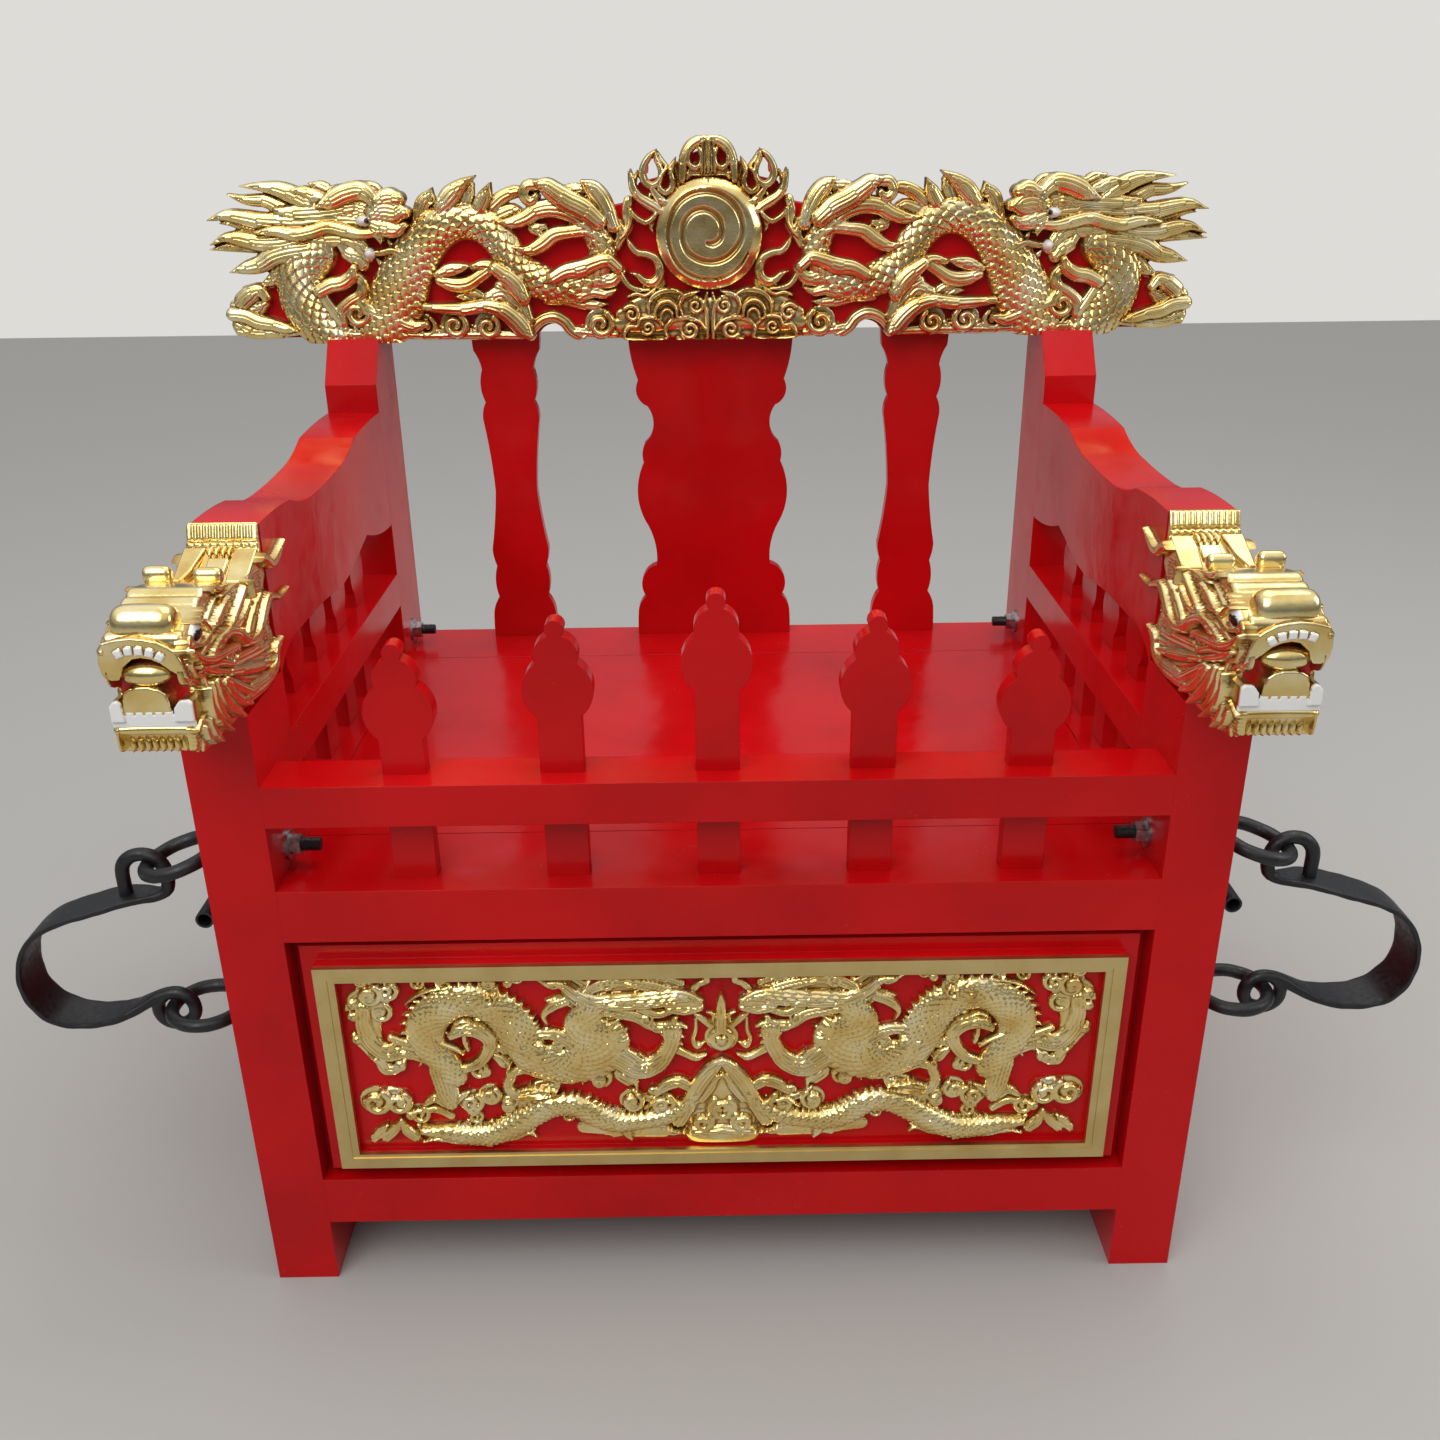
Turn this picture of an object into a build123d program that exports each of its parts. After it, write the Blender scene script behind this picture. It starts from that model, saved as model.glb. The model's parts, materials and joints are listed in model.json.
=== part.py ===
import os
from math import cos, hypot, radians, sin

from build123d import *

os.makedirs("parts", exist_ok=True)

# Temple sedan chair of lacquered wood. Millimetres, +Z up, the front faces -Y,
# x = 0 is the centre line. Depths are counted back from the front face of the legs.

# Whole chair
width = 950.0
depth = 714.0
leg_w = 63.0
leg_d = 110.0
half = width / 2
inner = half - leg_w
back_leg_y = depth - leg_d

# Heights, each member standing on the one below
foot_h = 76.0
bottom_rail_h = 56.0
panel_opening_h = 288.0
seat_rail_h = 55.0
hand_gap = 67.0
hand_h = 41.0
side_hand_rise = 7.0
side_hand_h = 43.0
arm_rise = 70.0
arm_h = 144.0
shoulder_rise = 182.0
leg_chamfer_h = 49.0
bottom_rail_top = foot_h + bottom_rail_h
seat_rail_bottom = bottom_rail_top + panel_opening_h
seat_z = seat_rail_bottom + seat_rail_h
hand_bottom = seat_z + hand_gap
hand_top = hand_bottom + hand_h
side_hand_bottom = hand_bottom + side_hand_rise
side_hand_top = side_hand_bottom + side_hand_h
front_leg_top = hand_top + arm_rise
shoulder_z = front_leg_top + shoulder_rise
back_leg_top = shoulder_z + leg_chamfer_h
crest_bottom = back_leg_top

# Depths of the frame members
rail_d = 57.0
leg_chamfer_d = 38.0
crest_d = 72.0
carving_t = 26.0
snout_reach = 112.0
fit_gap = 0.3
crest_y = depth - crest_d
crest_board_y = crest_y + carving_t

# The chair is centred on the origin between the snouts and the back of the crest
shift_y = (snout_reach - depth) / 2


def put(shape, name):
    export_step(shape.moved(Location((0, shift_y, 0))), "parts/" + name + ".step")


def block(x0, x1, y0, y1, z0, z1):
    return Pos((x0 + x1) / 2, (y0 + y1) / 2, (z0 + z1) / 2) * Box(abs(x1 - x0), abs(y1 - y0), abs(z1 - z0))


def flipped(shape):
    return shape.mirror(Plane.YZ)


def put_pair(shape, name):
    put(shape, name + "_right")
    put(flipped(shape), name + "_left")


def disc_xz(x, z, radius, y0, y1):
    return Pos(x, (y0 + y1) / 2, z) * Rot(90, 0, 0) * Cylinder(radius, abs(y1 - y0))


def disc_yz(y, z, radius, x0, x1):
    return Pos((x0 + x1) / 2, y, z) * Rot(0, 90, 0) * Cylinder(radius, abs(x1 - x0))


def bar_ring(radius, bar_r, turn=360.0):
    # an eight-sided forged bar bent round the Z axis
    section = Plane.XZ * Pos(radius, 0, 0) * Rot(0, 0, 22.5) * RegularPolygon(bar_r, 8)
    return revolve(section, Axis.Z, turn)


def outline_face(rows, place):
    # rows (a, b, swell) go round the outline; the run to the next row is an arc that bows to its right by swell
    edges = []
    for row, following in zip(rows, rows[1:] + rows[:1]):
        a, b, swell = row
        c, d = following[:2]
        run = hypot(c - a, d - b)
        if abs(swell) > 0.01:
            middle = ((a + c) / 2 + (d - b) / run * swell, (b + d) / 2 - (c - a) / run * swell)
            edges.append(Edge.make_three_point_arc(place(a, b), place(*middle), place(c, d)))
        else:
            edges.append(Edge.make_line(place(a, b), place(c, d)))
    return Face(Wire(edges))


def slab_xz(rows, y0, y1):
    face = outline_face(rows, lambda x, z: Vector(x, y0, z))
    return extrude(face, amount=y1 - y0, dir=(0, 1, 0))


def slab_yz(rows, x0, x1):
    face = outline_face(rows, lambda y, z: Vector(x0, y, z))
    return extrude(face, amount=x1 - x0, dir=(1, 0, 0))


def ribbon(line, y0, y1, z_base=0.0):
    # a carved strand: line holds (x, height, half width); both edges are arcs through every second place
    sides = ([], [])
    for i, (x, z, r) in enumerate(line):
        a = line[max(i - 1, 0)]
        b = line[min(i + 1, len(line) - 1)]
        run = hypot(b[0] - a[0], b[1] - a[1])
        off_x = (b[1] - a[1]) / run * r
        off_z = (b[0] - a[0]) / run * r
        sides[0].append(Vector(x - off_x, y0, z + off_z + z_base))
        sides[1].append(Vector(x + off_x, y0, z - off_z + z_base))
    loop = []
    for side in (sides[0], sides[1][::-1]):
        if loop:
            loop.append(Edge.make_line(end, side[0]))
        for i in range(0, len(side) - 2, 2):
            loop.append(Edge.make_three_point_arc(side[i], side[i + 1], side[i + 2]))
        if len(side) % 2 == 0:
            loop.append(Edge.make_line(side[-2], side[-1]))
        end = side[-1]
    loop.append(Edge.make_line(end, sides[0][0]))
    return extrude(Face(Wire(loop)), amount=y1 - y0, dir=(0, 1, 0))


# Legs
front_leg = block(inner, half, 0, leg_d, 0, front_leg_top)
back_leg = slab_yz([(back_leg_y, 0, 0), (depth, 0, 0), (depth, back_leg_top, 0),
                    (back_leg_y + leg_chamfer_d, back_leg_top, 0), (back_leg_y, shoulder_z, 0)], inner, half)

# Eye bolts go through the legs: place along y and height
bolt_r = 6.5
bolt_hole_r = bolt_r + fit_gap
washer_r = 15.0
washer_gap = 2.0
bolt_over_seat = 21.0
bolt_pitch = 184.0
upper_drop = 15.0
front_bolt_y = leg_d / 2
back_bolt_y = depth - leg_d / 2
upper_bolt_z = seat_z + bolt_over_seat
lower_bolt_z = upper_bolt_z - bolt_pitch
for y in (front_bolt_y, back_bolt_y):
    for z in (upper_bolt_z, lower_bolt_z):
        hole = disc_yz(y, z, bolt_hole_r, inner - 1, half + 1)
        if y == front_bolt_y:
            front_leg -= hole
        else:
            back_leg -= hole
put_pair(front_leg, "front_leg")
put_pair(back_leg, "back_leg")

# Gourd balusters pass through the hand rails and end in mortises of the seat rails
stem_w = 40.0
stem_t = 18.0
mortise_depth = 12.0
stem_foot_z = seat_z - mortise_depth
front_stem_y = 24.0
side_stem_x = inner + 22.0
front_gourd_table = [
    # x, height of the big lobe's centre over the hand rail
    (-286.0, 60.0),
    (-142.0, 80.0),
    (0.0, 103.0),
    (142.0, 80.0),
    (286.0, 60.0),
]
side_gourd_count = 4
side_gourd_first = 112.0
side_gourd_pitch = 90.0
side_gourd_y = [leg_d + side_gourd_first + i * side_gourd_pitch for i in range(side_gourd_count)]

front_hand = block(-inner, inner, 0, rail_d, hand_bottom, hand_top)
front_seat_rail = block(-inner, inner, 0, leg_d, seat_rail_bottom, seat_z)
for x, rise in front_gourd_table:
    slot = block(x - stem_w / 2, x + stem_w / 2, front_stem_y, front_stem_y + stem_t, stem_foot_z, hand_top + 1)
    front_hand -= slot
    front_seat_rail -= slot
put(front_hand, "front_hand_rail")
put(front_seat_rail, "front_seat_rail")
put(block(-inner, inner, 0, rail_d, foot_h, bottom_rail_top), "front_bottom_rail")
put(block(-inner, inner, back_leg_y, depth, seat_rail_bottom, seat_z), "rear_seat_rail")
put(block(-inner, inner, depth - rail_d, depth, foot_h, bottom_rail_top), "rear_bottom_rail")

side_hand = block(inner, half, leg_d, back_leg_y, side_hand_bottom, side_hand_top)
side_seat_rail = block(inner, half, leg_d, back_leg_y, seat_rail_bottom, seat_z)
for y in side_gourd_y:
    slot = block(side_stem_x, side_stem_x + stem_t, y - stem_w / 2, y + stem_w / 2, stem_foot_z,
                 side_hand_top + 1)
    side_hand -= slot
    side_seat_rail -= slot
put_pair(side_hand, "side_hand_rail")
put_pair(side_seat_rail, "side_seat_rail")
put_pair(block(inner, half, leg_d, back_leg_y, foot_h, bottom_rail_top), "side_bottom_rail")

# Seat board, let in between the seat rails with a narrow gap all round
seat_board_t = 20.0
seat_gap = 1.0
cleat_w = 20.0
cleat_h = 25.0
seat_under = seat_z - seat_board_t
put(block(-inner + seat_gap, inner - seat_gap, leg_d + seat_gap, back_leg_y - seat_gap, seat_under, seat_z),
    "seat_board")
cleat = block(inner - cleat_w, inner, leg_d, back_leg_y, seat_under - cleat_h, seat_under)
put(Compound([cleat, flipped(cleat)]), "seat_cleats")

# Front gourds: stem, big lobe, small lobe and knob, fretted from one board
lobe_r = 32.0
small_lobe_r = 20.0
knob_r = 8.5
small_lobe_rise = 33.0
knob_rise = 58.0


def front_gourd(x, rise):
    z = hand_top + rise
    y1 = front_stem_y + stem_t
    body = block(x - stem_w / 2, x + stem_w / 2, front_stem_y, y1, stem_foot_z, z)
    body += disc_xz(x, z, lobe_r, front_stem_y, y1)
    body += disc_xz(x, z + small_lobe_rise, small_lobe_r, front_stem_y, y1)
    body += disc_xz(x, z + knob_rise, knob_r, front_stem_y, y1)
    return body


put(Compound([front_gourd(x, rise) for x, rise in front_gourd_table]), "front_gourd_balusters")

# Arms: boards as thick as the legs, wavy on top, bracket-shaped below. Their front ends are lower and
# thinner where the crests and cheeks of the dragon heads lie on them.
arm_low = front_leg_top
cheek_t = 6.0
cheek_end_y = 106.0
crest_foot = 96.0
arm_rows = [
    # y, height over the front leg, swell of the run that follows
    (0, 0, 0),
    (leg_d, 0, 0),
    (leg_d + 8, 5, -3),
    (165, 17, 0),
    (248, 16, -1),
    (343, 7, 0),
    (383, 9, 0),
    (477, 28, 5),
    (back_leg_y, 5, 0),
    (back_leg_y, arm_h + 4, 2),
    (470, arm_h + 1, -4),
    (383, arm_h - 16, -1),
    (289, arm_h - 18, -4),
    (205, arm_h - 3, 2),
    (cheek_end_y, arm_h, 0),
    (cheek_end_y, crest_foot, 0),
    (0, crest_foot, 0),
]
arm_side = [(y, arm_low + h, swell) for y, h, swell in arm_rows]
arm = slab_yz(arm_side, inner, half)
arm_uncut = arm
arm -= block(inner - 1, inner + cheek_t, -1, cheek_end_y, arm_low, arm_low + arm_h + 1)
side_lobe_r = 30.0
side_lobe_rise = 39.0
side_neck_w = 24.0


def side_gourd(y):
    x1 = side_stem_x + stem_t
    z = side_hand_top + side_lobe_rise
    body = block(side_stem_x, x1, y - stem_w / 2, y + stem_w / 2, stem_foot_z, z)
    body += disc_yz(y, z, side_lobe_r, side_stem_x, x1)
    body += block(side_stem_x, x1, y - side_neck_w / 2, y + side_neck_w / 2, z, arm_low + arm_h / 3)
    return body - arm_uncut


put_pair(arm, "arm")
put_pair(Compound([side_gourd(y) for y in side_gourd_y]), "side_gourd_balusters")

# Dragon heads on the arm fronts: muzzle with an open mouth, a crest that ends in an upright comb
# against the arm, and cheeks that clasp the arm
comb_t = 6.0
head_rows = [
    # y, height over the front leg, swell
    (-fit_gap, 2, 0),
    (-fit_gap, crest_foot + fit_gap, 0),
    (cheek_end_y - fit_gap, crest_foot + fit_gap, 0),
    (cheek_end_y - fit_gap, arm_h + 1, 0),
    (cheek_end_y - comb_t, arm_h + 1, 0),
    (cheek_end_y - comb_t, 127, 0),
    (96, 126, 0),
    (50, 105, -3),
    (18, 111, 5),
    (-36, 131, 2),
    (-50, 127, 2),
    (-66, 122, 4),
    (-90, 116, 0),
    (-snout_reach + 8, 114, 3),
    (-snout_reach, 107, 0),
    (-snout_reach, 81, 0),
    (-snout_reach + 9, 80, 0),
    (-snout_reach + 12, 91, 6),
    (-58, 92, 4),
    (-52, 50, 0),
    (-snout_reach + 14, 43, 0),
    (-snout_reach, 45, 0),
    (-snout_reach + 3, 31, 2),
    (-94, 14, 4),
    (-70, 2, 0),
]
cheek_rows = [
    # y, height over the front leg, swell: the flames of the mane end at the comb
    (-fit_gap, 3, 3),
    (18, 4, 0),
    (20, 14, 2),
    (62, 7, 0),
    (60, 20, 3),
    (cheek_end_y - 2, 16, 0),
    (86, 32, 2),
    (cheek_end_y - 0.5, 52, 0),
    (88, 66, 2),
    (cheek_end_y - 0.5, 84, 0),
    (90, 98, 2),
    (cheek_end_y - 1, 116, 0),
    (84, 128, 1),
    (60, 130, 1),
    (-fit_gap, 131, 0),
]
head_side = [(y, arm_low + h, swell) for y, h, swell in head_rows]
cheek_side = [(y, arm_low + h, swell) for y, h, swell in cheek_rows]
head = slab_yz(head_side, inner, half + cheek_t - 1)
head += slab_yz(cheek_side, inner, inner + cheek_t - fit_gap)
head += slab_yz(cheek_side, half + fit_gap, half + cheek_t - 1)
# the arched mouth opening is cut through the lip plate
mouth_shift = 4.0
mouth_mid = (inner + half) / 2 + mouth_shift
mouth_half = 23.0
mouth_low = arm_low + 44.0
mouth_high = arm_low + 86.0
mouth_arch = 12.0
head -= slab_xz([(mouth_mid - mouth_half, mouth_low, 0), (mouth_mid + mouth_half, mouth_low, 0),
                 (mouth_mid + mouth_half, mouth_high, mouth_arch), (mouth_mid - mouth_half, mouth_high, 0)],
                -snout_reach - 1, -56)
put_pair(head, "dragon_head")

# Tongue, teeth and eyes are set into the head
tongue_half = 19.0
tongue = slab_xz([(mouth_mid - tongue_half, mouth_low + fit_gap, 0), (mouth_mid + tongue_half, mouth_low + fit_gap, 0),
                  (mouth_mid + tongue_half - 2, mouth_low + 20, 13), (mouth_mid - tongue_half + 2, mouth_low + 20, 0)],
                 -snout_reach + 12, -56 - fit_gap)
put_pair(tongue, "dragon_tongue")
tooth_w = 7.0
tooth_front = -snout_reach + 1
tooth_back = -snout_reach + 9
teeth = []
tooth_table = [
    # x from the middle of the mouth, height of the root over the front leg, length upwards
    (-mouth_half + tooth_w / 2 + fit_gap, 45.0, 21.0),
    (mouth_half - tooth_w / 2 - fit_gap, 45.0, 21.0),
]
for x, root, length in tooth_table:
    teeth.append(slab_xz([(mouth_mid + x - tooth_w / 2, arm_low + root, 0), (mouth_mid + x + tooth_w / 2, arm_low + root, 1),
                          (mouth_mid + x, arm_low + root + length, 1)], tooth_front, tooth_back))
put_pair(Compound(teeth), "dragon_teeth")
eye_ball_r = 9.5
eye_ball_out = 7.0
eye_ball_flat = 5.0
eye_ball_y = -71.0
eye_ball_z = arm_low + 106.0
eye_balls = []
for x, out in ((inner - fit_gap, -1), (half + cheek_t - 1 + fit_gap, 1)):
    ball = Rot(0, 90 * out, 0) * Cone(eye_ball_r, eye_ball_flat, eye_ball_out)
    eye_balls.append(Pos(x + out * eye_ball_out / 2, eye_ball_y, eye_ball_z) * ball)
put_pair(Compound(eye_balls), "dragon_eyes")

# Back splats: one wide between two narrow ones, edges of ogee curves that meet in cusps
splat_t = 16.0
splat_inset = 12.0
splat_y = depth - splat_inset - splat_t
splat_h = crest_bottom - seat_z
narrow_edge = [
    # height over the seat, half width, swell of the run that follows
    (0.0, 43.5, 0.5),
    (35.0, 42.5, 1.5),
    (57.0, 33.5, 3.5),
    (101.0, 33.5, 1.0),
    (125.0, 38.0, -1.2),
    (205.0, 27.5, -1.5),
    (300.0, 36.5, 1.5),
    (322.0, 31.5, 4.0),
    (363.0, 33.0, -1.5),
    (387.0, 42.0, 0.5),
    (splat_h, 43.0, 0.0),
]
wide_edge = [
    (0.0, 105.0, 0.5),
    (35.0, 104.0, 2.0),
    (55.0, 93.0, 4.0),
    (85.0, 95.0, 2.5),
    (100.0, 77.0, -4.0),
    (155.0, 87.0, 11.0),
    (240.0, 90.0, 2.5),
    (265.0, 88.0, -9.5),
    (314.0, 83.0, 8.0),
    (347.0, 94.0, 3.0),
    (splat_h, 105.0, 0.0),
]
splat_table = [
    # name, centre x, edge
    ("left", -261.0, narrow_edge),
    ("centre", 0.0, wide_edge),
    ("right", 261.0, narrow_edge),
]
for name, x, edge in splat_table:
    rising = [(x + w, seat_z + h, swell) for h, w, swell in edge]
    swells_back = [0.0] + [swell for h, w, swell in edge[:-1]][::-1]
    falling = [(x - w, seat_z + h, 0.0) for h, w, swell in edge[::-1]]
    falling = [(a, b, s) for (a, b, zero), s in zip(falling, swells_back[1:] + [0.0])]
    put(slab_xz(rising + falling, splat_y, splat_y + splat_t), "back_splat_" + name)

# Crest rail: a red board with the gilt carving in front of it
board_rows = [
    # x, height over the back legs, swell; right half, from the middle of the lower edge
    (0, 0, 0),
    (178, 0, -3),
    (196, 13, -3),
    (216, 0, 0),
    (560, 0, 2),
    (584, 18, 4),
    (576, 46, 3),
    (540, 60, -4),
    (536, 100, 0),
    (536, 140, 2),
    (500, 164, 0),
    (400, 158, -4),
    (340, 146, 4),
    (240, 144, 0),
    (150, 150, -3),
    (98, 154, -1),
    (84, 176, 0),
    (66, 180, -1),
    (40, 190, 0),
    (26, 206, 3),
    (0, 214, 0),
]
board_right = [(x, crest_bottom + h, swell) for x, h, swell in board_rows]
board_left = [(-x, crest_bottom + h, board_rows[i - 1][2]) for i, (x, h, swell) in enumerate(board_rows) if i > 0]
board_outline = board_right + board_left[-2::-1]
put(slab_xz(board_outline, crest_board_y, depth), "crest_board")

# Strands of the right-hand crest dragon: x, height over the back legs, half width
low_relief = 12.0
mid_relief = 19.0
dragon_body = [(482, 112, 25), (500, 86, 29), (503, 54, 31), (490, 24, 29), (462, 2, 22)]
dragon_coil = [(408, 8, 28), (390, 41, 36), (369, 78, 33), (345, 114, 28), (303, 135, 22), (262, 119, 21),
               (235, 82, 21), (206, 62, 21), (168, 56, 19), (138, 72, 18), (131, 100, 18)]
strand_table = [
    # how far it stands out, places along the strand
    (mid_relief, [(480, 156, 6), (513, 173, 9), (560, 178, 1)]),
    (mid_relief, [(470, 136, 12), (530, 140, 10), (606, 140, 1)]),
    (low_relief, [(496, 148, 12), (540, 160, 8), (578, 169, 1)]),
    (mid_relief, [(480, 118, 12), (540, 114, 11), (607, 112, 1)]),
    (low_relief, [(516, 100, 12), (565, 108, 10), (611, 106, 1)]),
    (mid_relief, [(490, 100, 14), (540, 94, 12), (588, 80, 1)]),
    (low_relief, [(503, 86, 12), (532, 78, 10), (554, 61, 1)]),
    (low_relief, [(462, 8, 9), (520, 16, 12), (570, 24, 14), (594, 30, 4)]),
    (mid_relief, [(530, 30, 8), (560, 52, 10), (592, 46, 4)]),
    (mid_relief, [(418, 22, 9), (440, 26, 14), (470, 12, 9)]),
    (low_relief, [(367, 120, 6), (352, 150, 8), (332, 174, 1)]),
    (low_relief, [(330, 140, 9), (308, 168, 10), (280, 187, 1)]),
    (low_relief, [(290, 144, 9), (276, 164, 8), (261, 179, 1)]),
    (low_relief, [(270, 142, 9), (246, 163, 7), (216, 166, 1)]),
    (mid_relief, [(352, 37, 4), (300, 34, 7), (256, 31, 9), (226, 6, 7)]),
    (mid_relief, [(272, 84, 8), (244, 66, 10), (222, 20, 8)]),
    (low_relief, [(335, 74, 4), (306, 76, 9), (268, 70, 9)]),
    (mid_relief, [(196, 72, 6), (156, 80, 9), (110, 80, 5)]),
    (low_relief, [(200, 46, 8), (160, 46, 10), (112, 56, 2)]),
    (mid_relief, [(140, 130, 12), (186, 149, 11), (256, 134, 1)]),
    (mid_relief, [(134, 128, 12), (168, 157, 12), (208, 179, 1)]),
    (low_relief, [(118, 120, 8), (130, 162, 10), (152, 179, 1)]),
]
cloud_table = [
    # x, height over the back legs, radius, how far it stands out
    (437, 30, 18, mid_relief),
    (410, 12, 16, mid_relief),
    (355, 13, 14, low_relief),
    (318, 14, 18, mid_relief),
    (277, 13, 17, mid_relief),
    (137, 14, 18, mid_relief),
    (112, 159, 16, mid_relief),
]
head_rows_crest = [
    # x, height over the back legs, swell: the head looks towards the sun
    (480, 118, 3),
    (441, 113, 0),
    (418, 92, 0),
    (424, 113, -3),
    (403, 133, -3),
    (398, 112, 0),
    (380, 124, 5),
    (368, 136, 4),
    (372, 162, 5),
    (398, 166, -3),
    (404, 176, 5),
    (440, 180, 4),
    (478, 170, 6),
    (512, 140, 6),
]


def on_board(relief):
    return crest_board_y - relief


cap_y = crest_board_y - carving_t
dragon = ribbon(dragon_coil, cap_y, crest_board_y, crest_bottom)
dragon += ribbon(dragon_body, cap_y, crest_board_y, crest_bottom)
# the muzzle outline turns the other way round, so its swells change sign
muzzle = [(x, crest_bottom + h, -swell) for x, h, swell in head_rows_crest]
dragon += slab_xz(muzzle, cap_y, crest_board_y)
for relief, line in strand_table:
    dragon += ribbon(line, on_board(relief), crest_board_y, crest_bottom)
for x, h, r, relief in cloud_table:
    dragon += disc_xz(x, crest_bottom + h, r, on_board(relief), crest_board_y)
dragon &= block(0, 700, 0, depth, crest_bottom, crest_bottom + 300)

# Flaming pearl or sun with a spiral groove, its flames, and the clouds below it
sun_rise = 120.0
sun_r = 64.5
sun_rim_r = 50.0
sun_bevel = 7.0
groove_depth = 3.0
sun_z = crest_bottom + sun_rise
spiral = [(-3, -13, 2.5), (14, -6, 2.5), (17, 8, 2.5), (2, 25, 2.5), (-19, 22, 2.5), (-33, 0, 2.5), (-22, -27, 2.5),
          (4, -37, 2.5), (33, -21, 2.5), (41, 4, 2.5), (30, 32, 2.5)]
sun = disc_xz(0, sun_z, sun_r, crest_y + sun_bevel, crest_board_y)
sun += Pos(0, crest_y + sun_bevel / 2, sun_z) * Rot(90, 0, 0) * Cone(sun_r, sun_rim_r, sun_bevel)
sun -= ribbon(spiral, crest_y - 1, crest_y + groove_depth, sun_z)
put(sun, "sun_disc")

flame_table = [
    # how far it stands out, places along the flame from the disc outwards (height over the sun's centre)
    (mid_relief, [(58, 38, 9), (84, 44, 7), (95, 73, 1)]),
    (low_relief, [(62, 20, 7), (84, 21, 6), (98, 38, 2)]),
    (mid_relief, [(48, 50, 9), (80, 60, 6), (62, 94, 1)]),
    (low_relief, [(40, 56, 7), (42, 72, 5), (58, 78, 2)]),
    (low_relief, [(66, -8, 5), (84, -24, 6), (102, -4, 3)]),
    (low_relief, [(62, -24, 6), (70, -48, 6), (104, -44, 2)]),
]
crown_rows = [(-29, 66, 0), (29, 66, 3), (32, 84, 4), (24, 102, 4), (0, 107, 4), (-24, 102, 4), (-32, 84, 3)]
crown = slab_xz([(x, sun_z + h, swell) for x, h, swell in crown_rows], on_board(mid_relief), crest_board_y)
flames = None
for relief, line in flame_table:
    strand = ribbon(line, on_board(relief), crest_board_y, sun_z)
    flames = flames + strand if flames else strand
flames = flames + flipped(flames) + crown
for x in (-15, 15):
    flames -= block(x - 3.5, x + 3.5, crest_y, crest_board_y + 1, sun_z + 78, sun_z + 94)
flames -= disc_xz(0, sun_z, sun_r + fit_gap, crest_y - 1, crest_board_y + 1)

puff_table = [
    # x, height over the back legs, radius, how far it stands out; mirrored about the middle
    (97, 27, 20, mid_relief),
    (72, 10, 16, low_relief),
    (48, 30, 19, mid_relief),
    (27, 10, 19, mid_relief),
    (17, 34, 16, carving_t),
]
clouds = block(-100, 100, on_board(low_relief), crest_board_y, crest_bottom, crest_bottom + 22)
for x, h, r, relief in puff_table:
    for side in (-1, 1):
        clouds += disc_xz(side * x, crest_bottom + h, r, on_board(relief), crest_board_y)
clouds &= block(-200, 200, 0, depth, crest_bottom, crest_bottom + 60)
clouds -= disc_xz(0, sun_z, sun_r + fit_gap, crest_y - 1, crest_board_y + 1)
flames -= clouds
dragon -= clouds
dragon -= disc_xz(0, sun_z, sun_r + fit_gap, crest_y - 1, crest_board_y + 1)
flames -= dragon
flames -= flipped(dragon)
put_pair(dragon, "crest_dragon")
put(flames, "sun_flames")
put(clouds, "crest_clouds")

# Front panel: stepped moulding, gilt frame, field and carving in low relief
moulding_back = front_bolt_y - washer_r - washer_gap
moulding_base_y = 26.0
moulding_step_y = 8.0
frame_seat_y = -4.0
field_y = 2.0
frame_front = -10.0
bead_set_back = 1.0
panel_low = bottom_rail_top
panel_high = seat_rail_bottom


def margin_block(side, rise, y0, y1):
    # a block inset from the panel's opening: side from the legs, rise from the rails
    return block(-inner + side, inner - side, y0, y1, panel_low + rise, panel_high - rise)


step_side = 10.0
step_rise = 9.0
frame_side = 25.0
frame_rise = 24.0
frame_flat = 12.5
bead_w = 7.0
field_side = frame_side + frame_flat + bead_w
field_rise = frame_rise + (frame_flat + bead_w) * 0.85
moulding = margin_block(0, 0, moulding_base_y, moulding_back)
moulding += margin_block(step_side, step_rise, moulding_step_y, moulding_base_y)
moulding += margin_block(frame_side, frame_rise, frame_seat_y, moulding_step_y)
moulding -= margin_block(field_side, field_rise, -40, field_y)
put(moulding, "front_panel_moulding")
bead_side = frame_side + frame_flat
bead_rise = frame_rise + frame_flat
gilt = margin_block(frame_side, frame_rise, frame_front, frame_seat_y)
gilt -= margin_block(bead_side, bead_rise, -40, 0)
bead = margin_block(bead_side, bead_rise, frame_front + bead_set_back, frame_seat_y)
bead -= margin_block(field_side, field_rise, -40, 0)
put(gilt + bead, "gilt_panel_frame")

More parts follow.
